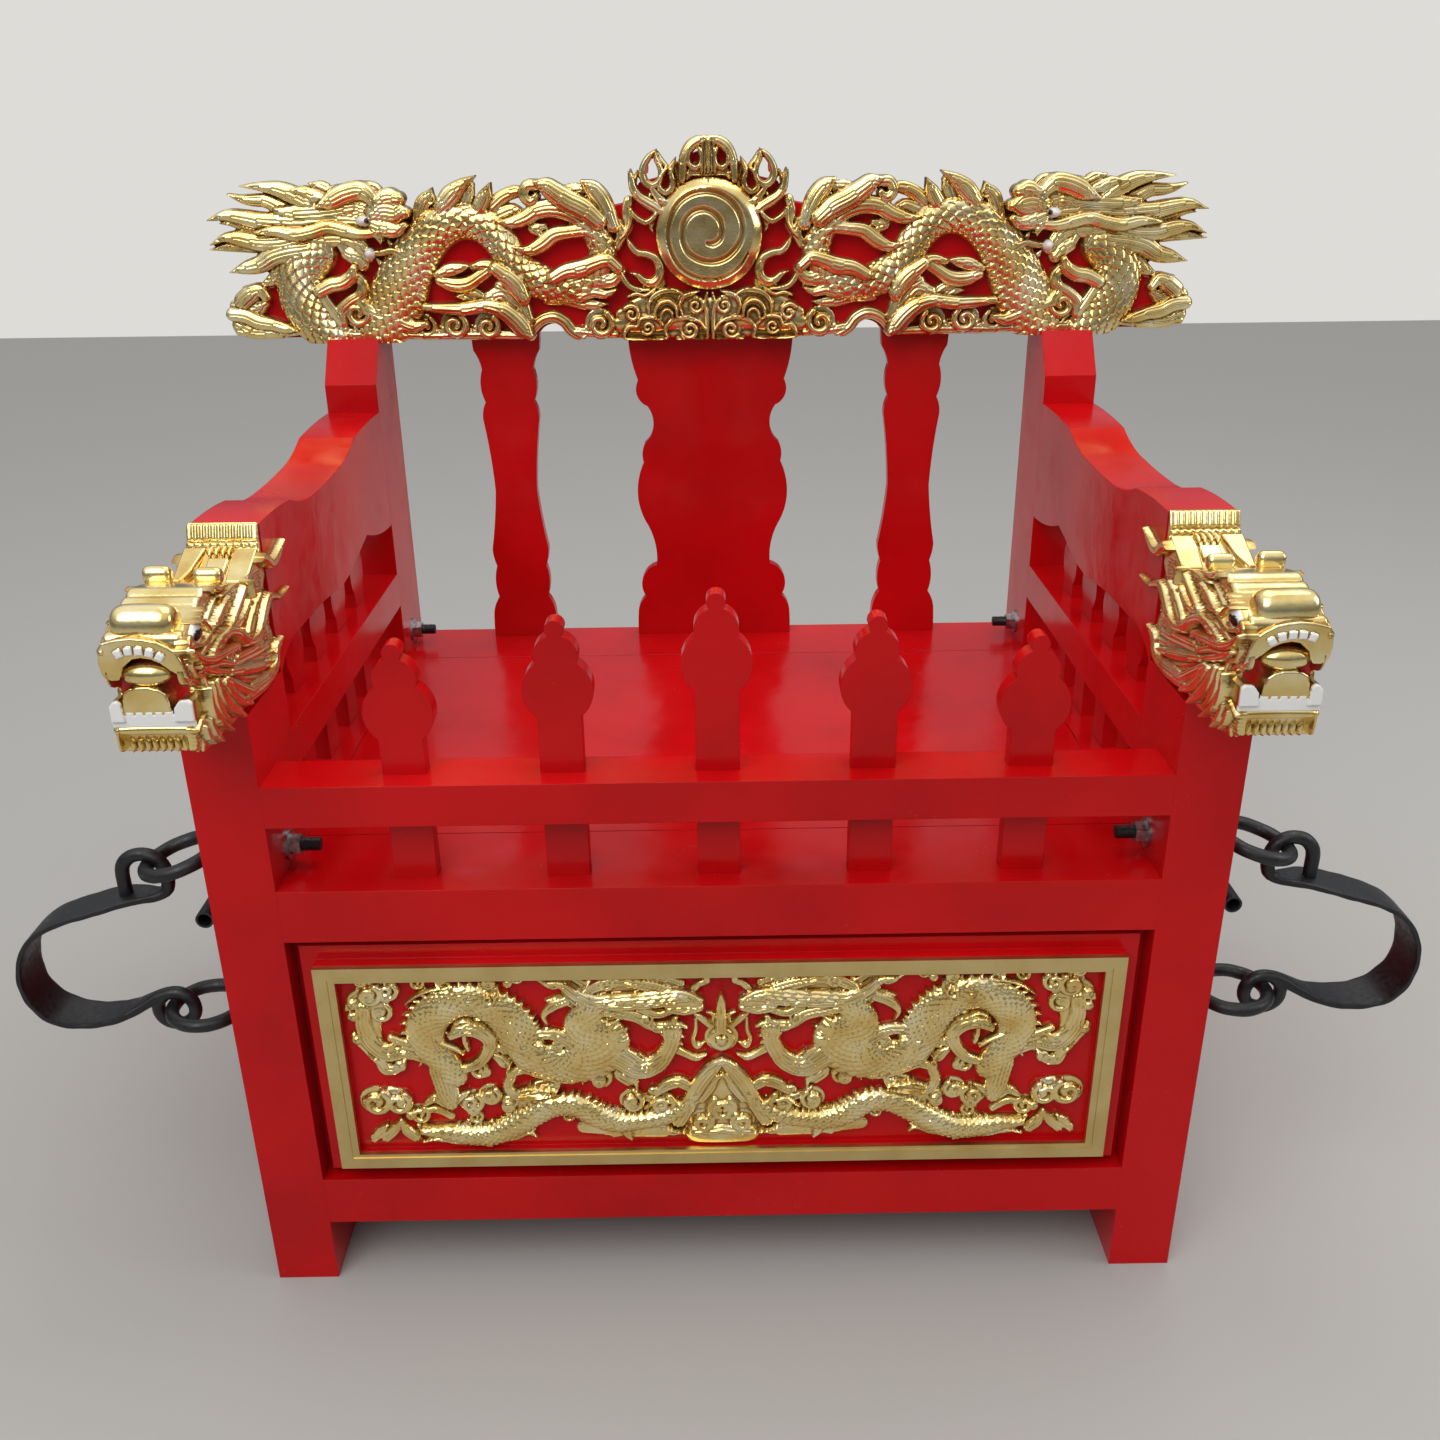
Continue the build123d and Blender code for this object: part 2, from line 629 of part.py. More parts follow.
# Relief on the field, right half: x, height over the bottom rail, half width
coil_relief = 9.0
cloud_relief = 6.0
wave_relief = 4.0
panel_coil = [(122, 205, 14), (132, 193, 22), (122, 171, 32), (134, 151, 27), (160, 145, 20), (186, 155, 19),
              (198, 178, 20), (208, 201, 20), (230, 218, 18), (254, 221, 18), (280, 207, 18), (287, 185, 17),
              (276, 152, 15)]
panel_tail = [(300, 68, 5), (280, 65, 9), (235, 59, 11), (190, 82, 12), (150, 92, 12), (108, 73, 11), (62, 78, 9),
              (40, 90, 7), (26, 108, 5)]
relief_table = [
    (coil_relief, panel_coil),
    (coil_relief, panel_tail),
    (coil_relief, [(20, 217, 6), (58, 220, 17), (100, 218, 16), (130, 214, 10)]),
    (cloud_relief, [(110, 222, 9), (140, 230, 7), (166, 243, 2)]),
    (cloud_relief, [(98, 152, 13), (60, 150, 12), (48, 182, 9)]),
    (cloud_relief, [(50, 160, 6), (34, 150, 5), (16, 154, 2)]),
    (cloud_relief, [(346, 208, 8), (340, 172, 11), (306, 164, 10), (270, 146, 6)]),
    (cloud_relief, [(263, 180, 5), (238, 190, 8), (228, 162, 8), (250, 142, 5)]),
    (cloud_relief, [(208, 140, 6), (176, 134, 9), (136, 140, 6)]),
    (cloud_relief, [(278, 142, 12), (273, 120, 11), (268, 102, 8)]),
    (cloud_relief, [(212, 136, 7), (204, 108, 7), (162, 122, 5)]),
    (wave_relief, [(358, 54, 3), (344, 66, 7), (328, 56, 6), (318, 72, 3)]),
    (wave_relief, [(300, 54, 3), (240, 52, 5), (190, 60, 4)]),
    (wave_relief, [(112, 54, 3), (66, 58, 6), (20, 60, 6)]),
]
relief_discs = [
    # x, height over the bottom rail, radius
    (338, 228, 15),
    (318, 236, 12),
    (346, 101, 17),
    (322, 100, 15),
    (250, 100, 14),
    (230, 108, 12),
    (224, 229, 12),
    (60, 94, 14),
    (90, 98, 13),
]
mountain_rows = [(-46, 46, 0), (46, 46, 3), (30, 98, 3), (0, 149, 3), (-30, 98, 3)]
pearl_rise = 174.0
pearl_r = 16.0
half_relief = None
for relief, line in relief_table:
    strand = ribbon(line, field_y - relief, field_y, panel_low)
    half_relief = half_relief + strand if half_relief else strand
for x, h, r in relief_discs:
    half_relief += disc_xz(x, panel_low + h, r, field_y - cloud_relief, field_y)
carving = half_relief + flipped(half_relief)
carving += slab_xz([(x, panel_low + h, swell) for x, h, swell in mountain_rows], field_y - wave_relief, field_y)
pearl = disc_xz(0, panel_low + pearl_rise, pearl_r, field_y - coil_relief, field_y)
pearl += ribbon([(0, pearl_rise + pearl_r - 2, 7), (2, pearl_rise + 34, 6), (0, pearl_rise + 54, 1)],
                field_y - cloud_relief, field_y, panel_low)
carving += pearl
carving &= margin_block(field_side + fit_gap, field_rise + fit_gap, -40, field_y)
put(carving, "panel_carving")

# Washers and nuts on the bolts, inside the legs
washer_t = 2.5
nut_flat = 19.0
nut_t = 10.5
thread_end = 31.0
washers = []
nuts = []
for y in (front_bolt_y, back_bolt_y):
    for z in (upper_bolt_z, lower_bolt_z):
        bore = disc_yz(y, z, bolt_hole_r, 0, half)
        hexagon = Rot(0, 90, 0) * extrude(RegularPolygon(nut_flat / 2, 6, major_radius=False), nut_t)
        washers.append(disc_yz(y, z, washer_r, inner - washer_t, inner) - bore)
        nuts.append(hexagon.moved(Location((inner - washer_t - nut_t, y, z))) - bore)
put_pair(Compound(washers), "washers")
put_pair(Compound(nuts), "nuts")

# Side and back panels; the back one and the front moulding clear the washers
panel_t = 18.0
panel_inset = 20.0
back_panel_y = back_bolt_y + washer_r + washer_gap
put_pair(block(half - panel_inset - panel_t, half - panel_inset, leg_d, back_leg_y, bottom_rail_top,
               seat_rail_bottom), "side_panel")
put(block(-inner, inner, back_panel_y, back_panel_y + panel_t, bottom_rail_top, seat_rail_bottom), "back_panel")

# Side pipes the carrying poles rub against
pipe_r = 8.5
pipe_bore = 6.5
pipe_set_back = 2.0
pipe_under_seat = 30.0
pipe_len = depth - 2 * pipe_set_back
pipe = Cylinder(pipe_r, pipe_len) - Cylinder(pipe_bore, pipe_len + 2)
put_pair(Pos(half + pipe_r, depth / 2, seat_z - pipe_under_seat) * Rot(90, 0, 0) * pipe, "side_pipe")

# Forged eye bolts; the upper eyes droop
eye_bar_r = 6.5
eye_r = 35.0
eye_stand_off = 2.0
eye_mid = eye_stand_off + eye_bar_r + eye_r


def eye_bolt(y, z, drop):
    ring = bar_ring(eye_r, eye_bar_r).moved(Location((eye_mid, 0, 0)))
    ring = ring.rotate(Axis((0, 0, 0), (0, 1, 0)), drop)
    shank = disc_yz(0, 0, bolt_r, -leg_w - thread_end, eye_stand_off + eye_bar_r * 1.4)
    return (ring + shank).moved(Location((half, y, z)))


def eye_tip(z, drop):
    # middle of the bar at the outer end of the eye
    reach = eye_mid + eye_r
    return half + reach * cos(radians(drop)), z - reach * sin(radians(drop))


for end_name, y in (("front", front_bolt_y), ("rear", back_bolt_y)):
    pair = Compound([eye_bolt(y, upper_bolt_z, upper_drop), eye_bolt(y, lower_bolt_z, 0.0)])
    put_pair(pair, "eye_bolts_" + end_name)

# Strap stirrups: flat iron band bent round a carrying pole, a bar hook above and an eye at the foot
band_w = 48.0
band_t = 6.0
link_bar_r = 5.5
hook_r = 23.0
hook_out = 5.0
hook_down = 9.6
hook_leg = 26.0
foot_eye_r = 19.0
foot_eye_in = 3.0
foot_eye_down = 2.0
tongue_w = 16.0
tongue_t = 6.0
pole_bend_out = 114.0
upper_tip_x, upper_tip_z = eye_tip(upper_bolt_z, upper_drop)
lower_tip_x, lower_tip_z = eye_tip(lower_bolt_z, 0.0)
hook_x = upper_tip_x + hook_out
hook_z = upper_tip_z - hook_down
hook_foot_z = hook_z - hook_leg
band_start_x = hook_x + hook_r - 3
band_start_z = hook_foot_z + 2
band_foot_x = lower_tip_x + foot_eye_r + 15
band_foot_z = lower_tip_z - 6
# Middle line of the band from the hook round the pole to the foot, each place counted from the band's start
band_out = pole_bend_out
band_line = [
    (band_start_x, band_start_z),
    (band_start_x + band_out * 0.31, band_start_z - 10),
    (band_start_x + band_out * 0.63, band_start_z - 22),
    (band_start_x + band_out * 0.89, band_start_z - 45),
    (band_start_x + band_out, band_start_z - 87),
    (band_start_x + band_out * 0.9, band_foot_z + 15),
    (band_start_x + band_out * 0.68, band_foot_z - 1),
    (band_start_x + band_out * 0.4, band_foot_z - 6),
    (band_foot_x, band_foot_z),
]


def strap(y):
    line = [(x, z, band_t / 2) for x, z in band_line]
    band = ribbon(line, y - band_w / 2, y + band_w / 2)
    hook = Pos(hook_x, y, hook_z) * Rot(90, 0, 0) * bar_ring(hook_r, link_bar_r, 180.0)
    for side in (-1, 1):
        bar = extrude(Rot(0, 0, 22.5) * RegularPolygon(link_bar_r, 8), hook_leg)
        hook += Pos(hook_x + side * hook_r, y, hook_z - hook_leg) * bar
    tongue_low = hook_foot_z
    bridge = block(hook_x - hook_r - link_bar_r, band_start_x + 7, y - tongue_w / 2, y + tongue_w / 2, tongue_low,
                   tongue_low + tongue_t)
    eye_x = lower_tip_x - foot_eye_in
    eye = Pos(eye_x, y, lower_tip_z - foot_eye_down) * Rot(90, 0, 0) * bar_ring(foot_eye_r, link_bar_r)
    foot = block(eye_x + foot_eye_r, band_foot_x + 4, y - tongue_w / 2, y + tongue_w / 2,
                 band_foot_z - band_t / 2 - 1, band_foot_z + band_t / 2 - 1)
    return band + hook + bridge + eye + foot


for end_name, y in (("front", front_bolt_y), ("rear", back_bolt_y)):
    put_pair(strap(y), "strap_" + end_name)
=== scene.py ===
import bpy
import json
import math
import numpy as np
from mathutils import Matrix, Vector
from mathutils.geometry import delaunay_2d_cdt


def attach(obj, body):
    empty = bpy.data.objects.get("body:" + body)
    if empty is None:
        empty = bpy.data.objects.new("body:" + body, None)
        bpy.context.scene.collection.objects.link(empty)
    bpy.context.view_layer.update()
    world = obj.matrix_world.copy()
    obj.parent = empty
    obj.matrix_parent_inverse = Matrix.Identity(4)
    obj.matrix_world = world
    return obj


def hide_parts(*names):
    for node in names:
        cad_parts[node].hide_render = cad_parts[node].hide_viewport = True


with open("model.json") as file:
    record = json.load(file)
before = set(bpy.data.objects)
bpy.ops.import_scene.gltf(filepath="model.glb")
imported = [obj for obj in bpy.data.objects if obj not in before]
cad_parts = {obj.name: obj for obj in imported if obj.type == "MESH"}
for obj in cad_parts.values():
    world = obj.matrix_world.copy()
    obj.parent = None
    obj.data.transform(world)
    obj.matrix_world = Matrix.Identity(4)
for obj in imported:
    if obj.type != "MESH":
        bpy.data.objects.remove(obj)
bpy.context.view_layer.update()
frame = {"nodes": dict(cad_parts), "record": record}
nodes = frame["nodes"]
print("frame loaded,", len(nodes), "nodes")

# The chair is drawn in millimetres: x from the middle, y back from the front of the legs, z from the floor.
# mm turns them to the frame's metres, and chairShift brings y to the frame's own origin.
mm = 0.001
chairShift = -0.301


def toFrame(x, y, z):
    # millimetres of the chair to metres of the frame
    return np.stack(np.broadcast_arrays(x * mm, y * mm + chairShift, z * mm), axis=-1)


# Camera: where the photograph was taken from, by lines measured on the chair. Angles are in degrees, the
# lens and the sensor in millimetres of a full-frame camera
cameraValues = {"place": (-0.0044, -1.3909, 1.1224), "yaw": 0.35, "pitch": 23.72, "roll": -0.68,
                "lens": 33.84, "sensor": 36.0, "clipStart": 0.05}


def cameraTurn(v):
    # the camera's right, up and ahead in the frame: level and upright leaned over by the roll
    yaw, pitch, roll = (math.radians(v[key]) for key in ("yaw", "pitch", "roll"))
    ahead = Vector((math.sin(yaw) * math.cos(pitch), math.cos(yaw) * math.cos(pitch), -math.sin(pitch)))
    level = Vector((math.cos(yaw), -math.sin(yaw), 0))
    upright = level.cross(ahead)
    right = level * math.cos(roll) + upright * math.sin(roll)
    up = upright * math.cos(roll) - level * math.sin(roll)
    return right, up, ahead


def makeCamera(v):
    right, up, ahead = cameraTurn(v)
    data = bpy.data.cameras.new("photoCamera")
    data.lens = v["lens"]
    data.sensor_width = v["sensor"]
    data.clip_start = v["clipStart"]
    camera = bpy.data.objects.new("photoCamera", data)
    bpy.context.scene.collection.objects.link(camera)
    turn = Matrix((right, up, -ahead)).transposed()
    camera.matrix_world = Matrix.Translation(v["place"]) @ turn.to_4x4()
    bpy.context.scene.camera = camera


makeCamera(cameraValues)

# Much of the carving was picked on enlarged pieces of the photo, which is photoWide pixels wide and
# high. In the lists whose names end in Picks a place is a pixel across, a pixel down and a half width, all
# in pixels of the enlarged piece. corner is the photo's pixel at the piece's upper left, zoom the
# enlargement, wide the millimetres of the chair to a pixel of half width, and more the millimetres that
# every half width gains
photoWide = 1440
photoPieces = {"sun": {"corner": (570, 128), "zoom": 5.714, "wide": 0.265, "more": 0.0},
               "scrolls": {"corner": (570, 128), "zoom": 5.714, "wide": 0.23, "more": 0.0},
               "cheek": {"corner": (1140, 500), "zoom": 5.714, "wide": 0.175, "more": 0.5},
               "panelLeft": {"corner": (330, 975), "zoom": 6.957, "wide": 0.1406, "more": 0.0},
               "panelMiddle": {"corner": (550, 965), "zoom": 6.957, "wide": 0.1406, "more": 0.0}}


def fromPhoto(piece, line, axis, plane, wider=1.0):
    # where the ray place + t d of each picked pixel meets the plane, t = (plane - place) / d along the axis
    v = photoPieces[piece]
    right, up, ahead = (np.array(part) for part in cameraTurn(cameraValues))
    place = (np.array(cameraValues["place"]) - (0, chairShift, 0)) / mm
    picked = np.array(line, float)
    focal = cameraValues["lens"] / cameraValues["sensor"] * photoWide
    px, py = ((np.array(v["corner"]) + picked[:, :2] / v["zoom"] - photoWide / 2) / focal).T[:, :, None]
    ray = px * right - py * up + ahead
    spots = place + ray * ((plane - place[axis]) / ray[:, axis])[:, None]
    wide = (picked[:, 2] * v["wide"] + v["more"]) * wider
    return list(zip(np.abs(spots[:, 0]) if axis == 1 else spots[:, 1], spots[:, 2], wide))


# Floor, daylight and soft boxes
studio = {"floorColour": "#A6A4A0", "floorRoughness": 0.85, "floorSize": 14.0, "backdrop": "#DEDCD8",
          "skyRamp": ((0.0, "#575B61"), (0.35, "#A2A7AE"), (0.7, "#FFFFFF")), "skyStrength": 0.95,
          # name, place, aim, size, watts
          "boxes": [("boxFront", (-1.3, -2.6, 3.2), (0, 0, 0.5), 2.6, 66.0),
                    ("boxTop", (0.6, 0.5, 3.4), (0, 0.1, 0.4), 2.4, 36.0),
                    ("boxRight", (3.0, -0.6, 1.9), (0, 0, 0.5), 1.3, 18.0)]}


def linear(hexText):
    # sRGB hex to linear RGBA
    parts = [int(hexText[i:i + 2], 16) / 255 for i in (1, 3, 5)]
    return tuple(c / 12.92 if c <= 0.04045 else ((c + 0.055) / 1.055) ** 2.4 for c in parts) + (1.0,)


def addNode(tree, kind, settings=None, links=None, marks=()):
    # one node; settings are its own properties or socket values, links are socket -> output of another
    # node, and marks are the places and hex colours of a colour ramp
    node = tree.nodes.new(kind)
    for key, value in (settings or {}).items():
        if isinstance(key, str) and key in node.bl_rna.properties:
            setattr(node, key, value)
        else:
            node.inputs[key].default_value = value
    for key, source in (links or {}).items():
        tree.links.new(source, node.inputs[key])
    if marks:
        elements = node.color_ramp.elements
        while len(elements) < len(marks):
            elements.new(0.5)
        for element, (place, colour) in zip(elements, marks):
            element.position = place
            element.color = linear(colour)
    return node


def makeStudio(v):
    bpy.context.scene.view_settings.view_transform = "Standard"
    world = bpy.data.worlds.new("daylight")
    bpy.context.scene.world = world
    world.use_nodes = True
    tree = world.node_tree
    tree.nodes.clear()
    coord = addNode(tree, "ShaderNodeTexCoord")
    axis = addNode(tree, "ShaderNodeSeparateXYZ", links={0: coord.outputs["Generated"]})
    ramp = addNode(tree, "ShaderNodeValToRGB", {}, {0: axis.outputs["Z"]}, v["skyRamp"])
    sky = addNode(tree, "ShaderNodeBackground", {"Strength": v["skyStrength"]}, {"Color": ramp.outputs[0]})
    plain = addNode(tree, "ShaderNodeBackground", {"Color": linear(v["backdrop"]), "Strength": 1.0})
    path = addNode(tree, "ShaderNodeLightPath")
    mix = addNode(tree, "ShaderNodeMixShader", links={0: path.outputs["Is Camera Ray"], 1: sky.outputs[0],
                                                     2: plain.outputs[0]})
    addNode(tree, "ShaderNodeOutputWorld", links={0: mix.outputs[0]})
    half = v["floorSize"] / 2
    mesh = bpy.data.meshes.new("floor")
    corners = [(-half, -half, 0), (half, -half, 0), (half, half, 0), (-half, half, 0)]
    mesh.from_pydata(corners, [], [(0, 1, 2, 3)])
    floor = bpy.data.objects.new("floor", mesh)
    bpy.context.scene.collection.objects.link(floor)
    paint = bpy.data.materials.new("plainFloor")
    paint.use_nodes = True
    shader = paint.node_tree.nodes["Principled BSDF"]
    shader.inputs["Base Color"].default_value = linear(v["floorColour"])
    shader.inputs["Roughness"].default_value = v["floorRoughness"]
    mesh.materials.append(paint)
    for name, place, aim, size, watts in v["boxes"]:
        data = bpy.data.lights.new(name, "AREA")
        data.shape = "SQUARE"
        data.size = size
        data.energy = watts
        light = bpy.data.objects.new(name, data)
        bpy.context.scene.collection.objects.link(light)
        light.location = place
        light.rotation_euler = (Vector(aim) - Vector(place)).to_track_quat("-Z", "Y").to_euler()


makeStudio(studio)
print("camera, floor and lights set")


# Materials. Sizes of patterns and heights of bumps are real ones in millimetres. A Range is what a Map
# Range node reads, from and to, and then what it gives. A Mix node takes its factor at 0 and its two
# colours at 6 and 7
def newMaterial(name):
    material = bpy.data.materials.new(name)
    material.use_nodes = True
    tree = material.node_tree
    return material, tree, tree.nodes["Principled BSDF"]


def patternPlace(tree, sizeMm):
    # object coordinates scaled so that one unit of a pattern is sizeMm long
    coord = addNode(tree, "ShaderNodeTexCoord")
    scale = (1 / mm / sizeMm,) * 3
    return addNode(tree, "ShaderNodeMapping", {"Scale": scale}, {0: coord.outputs["Object"]}).outputs[0]


lacquer = {"tone": ((0.3, "#AE070C"), (0.5, "#BE090E"), (0.72, "#C60C11")), "toneMm": 160.0,
           "scuff": "#A81A18", "scuffMm": 55.0, "scuffRange": (0.66, 0.78, 0.0, 0.35), "waveMm": 46.0,
           "waveHighMm": 1.6, "grainMm": 8.0, "grainHighMm": 0.5, "edgeMm": 1.3,
           "roughRange": (0.35, 0.8, 0.11, 0.35), "specular": 0.2}


def redLacquer(v):
    # Red oil lacquer brushed thickly on planed softwood: glassy, with long brush waves and faint grain
    # under it
    material, tree, shader = newMaterial("redLacquer")
    cloud = addNode(tree, "ShaderNodeTexNoise", {"Scale": 1.0, "Detail": 4.0},
                    {0: patternPlace(tree, v["toneMm"])})
    tone = addNode(tree, "ShaderNodeValToRGB", {}, {0: cloud.outputs[0]}, v["tone"])
    wear = addNode(tree, "ShaderNodeTexNoise", {"Scale": 1.0, "Detail": 8.0, "Roughness": 0.7},
                   {0: patternPlace(tree, v["scuffMm"])})
    mask = addNode(tree, "ShaderNodeMapRange", dict(enumerate(v["scuffRange"], 1)), {0: wear.outputs[0]})
    colour = addNode(tree, "ShaderNodeMix", {"data_type": "RGBA", 7: linear(v["scuff"])},
                     {0: mask.outputs[0], 6: tone.outputs[0]})
    tree.links.new(colour.outputs[2], shader.inputs["Base Color"])
    wave = addNode(tree, "ShaderNodeTexNoise", {"Scale": 1.0, "Detail": 2.0},
                   {0: patternPlace(tree, v["waveMm"])})
    grain = addNode(tree, "ShaderNodeTexNoise", {"Scale": 1.0, "Detail": 5.0, "Roughness": 0.6},
                    {0: patternPlace(tree, v["grainMm"])})
    edge = addNode(tree, "ShaderNodeBevel", {"samples": 4, "Radius": v["edgeMm"] * mm})
    soft = addNode(tree, "ShaderNodeBump", {"Strength": 0.35, "Distance": v["waveHighMm"] * mm},
                   {"Height": wave.outputs[0], "Normal": edge.outputs[0]})
    fine = addNode(tree, "ShaderNodeBump", {"Strength": 0.12, "Distance": v["grainHighMm"] * mm},
                   {"Height": grain.outputs[0], "Normal": soft.outputs[0]})
    tree.links.new(fine.outputs[0], shader.inputs["Normal"])
    rough = addNode(tree, "ShaderNodeMapRange", dict(enumerate(v["roughRange"], 1)), {0: wear.outputs[0]})
    tree.links.new(rough.outputs[0], shader.inputs["Roughness"])
    shader.inputs["Specular IOR Level"].default_value = v["specular"]
    return material


# plain is the leaf on mouldings, duller than the burnished leaf on the carving
# The two darker golds below, with their ranges, are painted shade that darkens the carved gold in its
# hollows; the deeper one is warmed red-brown as a painted reflection of the red lacquer
gilding = {"tone": ((0.25, "#D6AE60"), (0.5, "#EAD28E"), (0.75, "#F8EBC0")),
           "roughRange": (0.3, 0.75, 0.13, 0.25),
           "plainTone": ((0.25, "#CBB072"), (0.5, "#D4BC80"), (0.75, "#DCC68C")),
           "plainRoughRange": (0.3, 0.75, 0.3, 0.42), "patchMm": 34.0, "toolMm": 3.4, "toolHighMm": 0.8,
           "shade": "#B48A44", "shadeRange": (0.15, 0.8, 0.0, 0.5), "recessShade": "#7A451A",
           "recessShadeRange": (0.65, 1.0, 0.0, 0.6), "red": "#D8141C", "white": "#E6E4E0", "pupil": "#0D0D10",
           "metal": 0.92}


def goldLeaf(v, name, carved):
    # Burnished gold leaf over carved wood: a pale metal darkened by painted shade in its hollows, after how
    # deep each place lies, and red-brown in the deepest as painted shade with a painted reflection of the red
    # lacquer;
    # teeth and eyeballs in white gloss paint and the mouth in red. Paint that is both red and white is the
    # dark of a pupil
    material, tree, shader = newMaterial(name)
    patch = addNode(tree, "ShaderNodeTexNoise", {"Scale": 1.0, "Detail": 4.0},
                    {0: patternPlace(tree, v["patchMm"])})
    marks, shine = (v["tone"], v["roughRange"]) if carved else (v["plainTone"], v["plainRoughRange"])
    tone = addNode(tree, "ShaderNodeValToRGB", {}, {0: patch.outputs[0]}, marks)
    source = tone.outputs[0]
    if carved:
        cavityShade, red, white = (addNode(tree, "ShaderNodeAttribute", {"attribute_name": key}).outputs["Fac"]
                              for key in ("cavityShade", "red", "white"))
        # painted shade: low darkens the gold towards the shade colour over shallow hollows, deep towards the
        # red-brown recess colour over deep ones
        low = addNode(tree, "ShaderNodeMapRange", dict(enumerate(v["shadeRange"], 1)), {0: cavityShade})
        deep = addNode(tree, "ShaderNodeMapRange", dict(enumerate(v["recessShadeRange"], 1)), {0: cavityShade})
        dark = addNode(tree, "ShaderNodeMath", {"operation": "MULTIPLY"}, {0: red, 1: white})
        for mask, colour in ((low.outputs[0], "shade"), (deep.outputs[0], "recessShade"), (red, "red"),
                             (white, "white"), (dark.outputs[0], "pupil")):
            mix = addNode(tree, "ShaderNodeMix", {"data_type": "RGBA", 7: linear(v[colour])},
                          {0: mask, 6: source})
            source = mix.outputs[2]
        paint = addNode(tree, "ShaderNodeMath", {"operation": "MAXIMUM"}, {0: red, 1: white})
        metal = addNode(tree, "ShaderNodeMath", {"operation": "SUBTRACT", 0: v["metal"]},
                        {1: paint.outputs[0]})
        tree.links.new(metal.outputs[0], shader.inputs["Metallic"])
    else:
        shader.inputs["Metallic"].default_value = 1.0
    tree.links.new(source, shader.inputs["Base Color"])
    tool = addNode(tree, "ShaderNodeTexNoise", {"Scale": 1.0, "Detail": 3.0, "Roughness": 0.55},
                   {0: patternPlace(tree, v["toolMm"])})
    lump = addNode(tree, "ShaderNodeBump", {"Strength": 0.16, "Distance": v["toolHighMm"] * mm},
                   {"Height": tool.outputs[0]})
    tree.links.new(lump.outputs[0], shader.inputs["Normal"])
    rough = addNode(tree, "ShaderNodeMapRange", dict(enumerate(shine, 1)), {0: patch.outputs[0]})
    tree.links.new(rough.outputs[0], shader.inputs["Roughness"])
    return material


iron = {"tone": ((0.45, "#101114"), (0.78, "#1E1B1C")), "lumpMm": 5.0, "lumpHighMm": 0.6,
        "roughRange": (0.3, 0.8, 0.32, 0.67)}


def blackIron(v):
    # Forged iron under satin black paint: small lumps of the hammer, brown where it has rubbed
    material, tree, shader = newMaterial("blackIron")
    noise = addNode(tree, "ShaderNodeTexNoise", {"Scale": 1.0, "Detail": 6.0},
                    {0: patternPlace(tree, v["lumpMm"])})
    tone = addNode(tree, "ShaderNodeValToRGB", {}, {0: noise.outputs[0]}, v["tone"])
    tree.links.new(tone.outputs[0], shader.inputs["Base Color"])
    bump = addNode(tree, "ShaderNodeBump", {"Strength": 0.4, "Distance": v["lumpHighMm"] * mm},
                   {"Height": noise.outputs[0]})
    tree.links.new(bump.outputs[0], shader.inputs["Normal"])
    rough = addNode(tree, "ShaderNodeMapRange", dict(enumerate(v["roughRange"], 1)), {0: noise.outputs[0]})
    tree.links.new(rough.outputs[0], shader.inputs["Roughness"])
    return material


zinc = {"tone": ((0.35, "#8B8F92"), (0.65, "#B9BCBE")), "patchMm": 5.0, "roughRange": (0.3, 0.7, 0.25, 0.45)}


def zincPlate(v):
    # Bright zinc plate on steel nuts and washers, going dull in patches
    material, tree, shader = newMaterial("zincPlate")
    noise = addNode(tree, "ShaderNodeTexNoise", {"Scale": 1.0, "Detail": 4.0},
                    {0: patternPlace(tree, v["patchMm"])})
    tone = addNode(tree, "ShaderNodeValToRGB", {}, {0: noise.outputs[0]}, v["tone"])
    tree.links.new(tone.outputs[0], shader.inputs["Base Color"])
    shader.inputs["Metallic"].default_value = 1.0
    rough = addNode(tree, "ShaderNodeMapRange", dict(enumerate(v["roughRange"], 1)), {0: noise.outputs[0]})
    tree.links.new(rough.outputs[0], shader.inputs["Roughness"])
    return material


ivory = {"tone": ((0.3, "#B9AE98"), (0.5, "#E9E7E0")), "patchMm": 12.0, "patchHighMm": 0.4, "roughness": 0.24}


def ivoryWhite(v):
    # White gloss paint on carved teeth and eyeballs, a little yellow and grimy in patches
    material, tree, shader = newMaterial("ivoryWhite")
    noise = addNode(tree, "ShaderNodeTexNoise", {"Scale": 1.0, "Detail": 5.0},
                    {0: patternPlace(tree, v["patchMm"])})
    tone = addNode(tree, "ShaderNodeValToRGB", {}, {0: noise.outputs[0]}, v["tone"])
    tree.links.new(tone.outputs[0], shader.inputs["Base Color"])
    bump = addNode(tree, "ShaderNodeBump", {"Strength": 0.3, "Distance": v["patchHighMm"] * mm},
                   {"Height": noise.outputs[0]})
    tree.links.new(bump.outputs[0], shader.inputs["Normal"])
    shader.inputs["Roughness"].default_value = v["roughness"]
    return material


finishes = {
    "red_lacquer": redLacquer(lacquer),
    "gold_leaf": goldLeaf(gilding, "goldLeaf", False),
    "gold_carved": goldLeaf(gilding, "goldLeafCarved", True),
    "black_iron": blackIron(iron),
    "zinc_plate": zincPlate(zinc),
    "ivory_white": ivoryWhite(ivory),
}
slotOf = {row["node"]: row["material_slot"] for row in frame["record"]["subparts"]}
for name, node in nodes.items():
    for place in node.material_slots:
        place.material = finishes[slotOf[name]]
print("materials made and given to the CAD nodes")
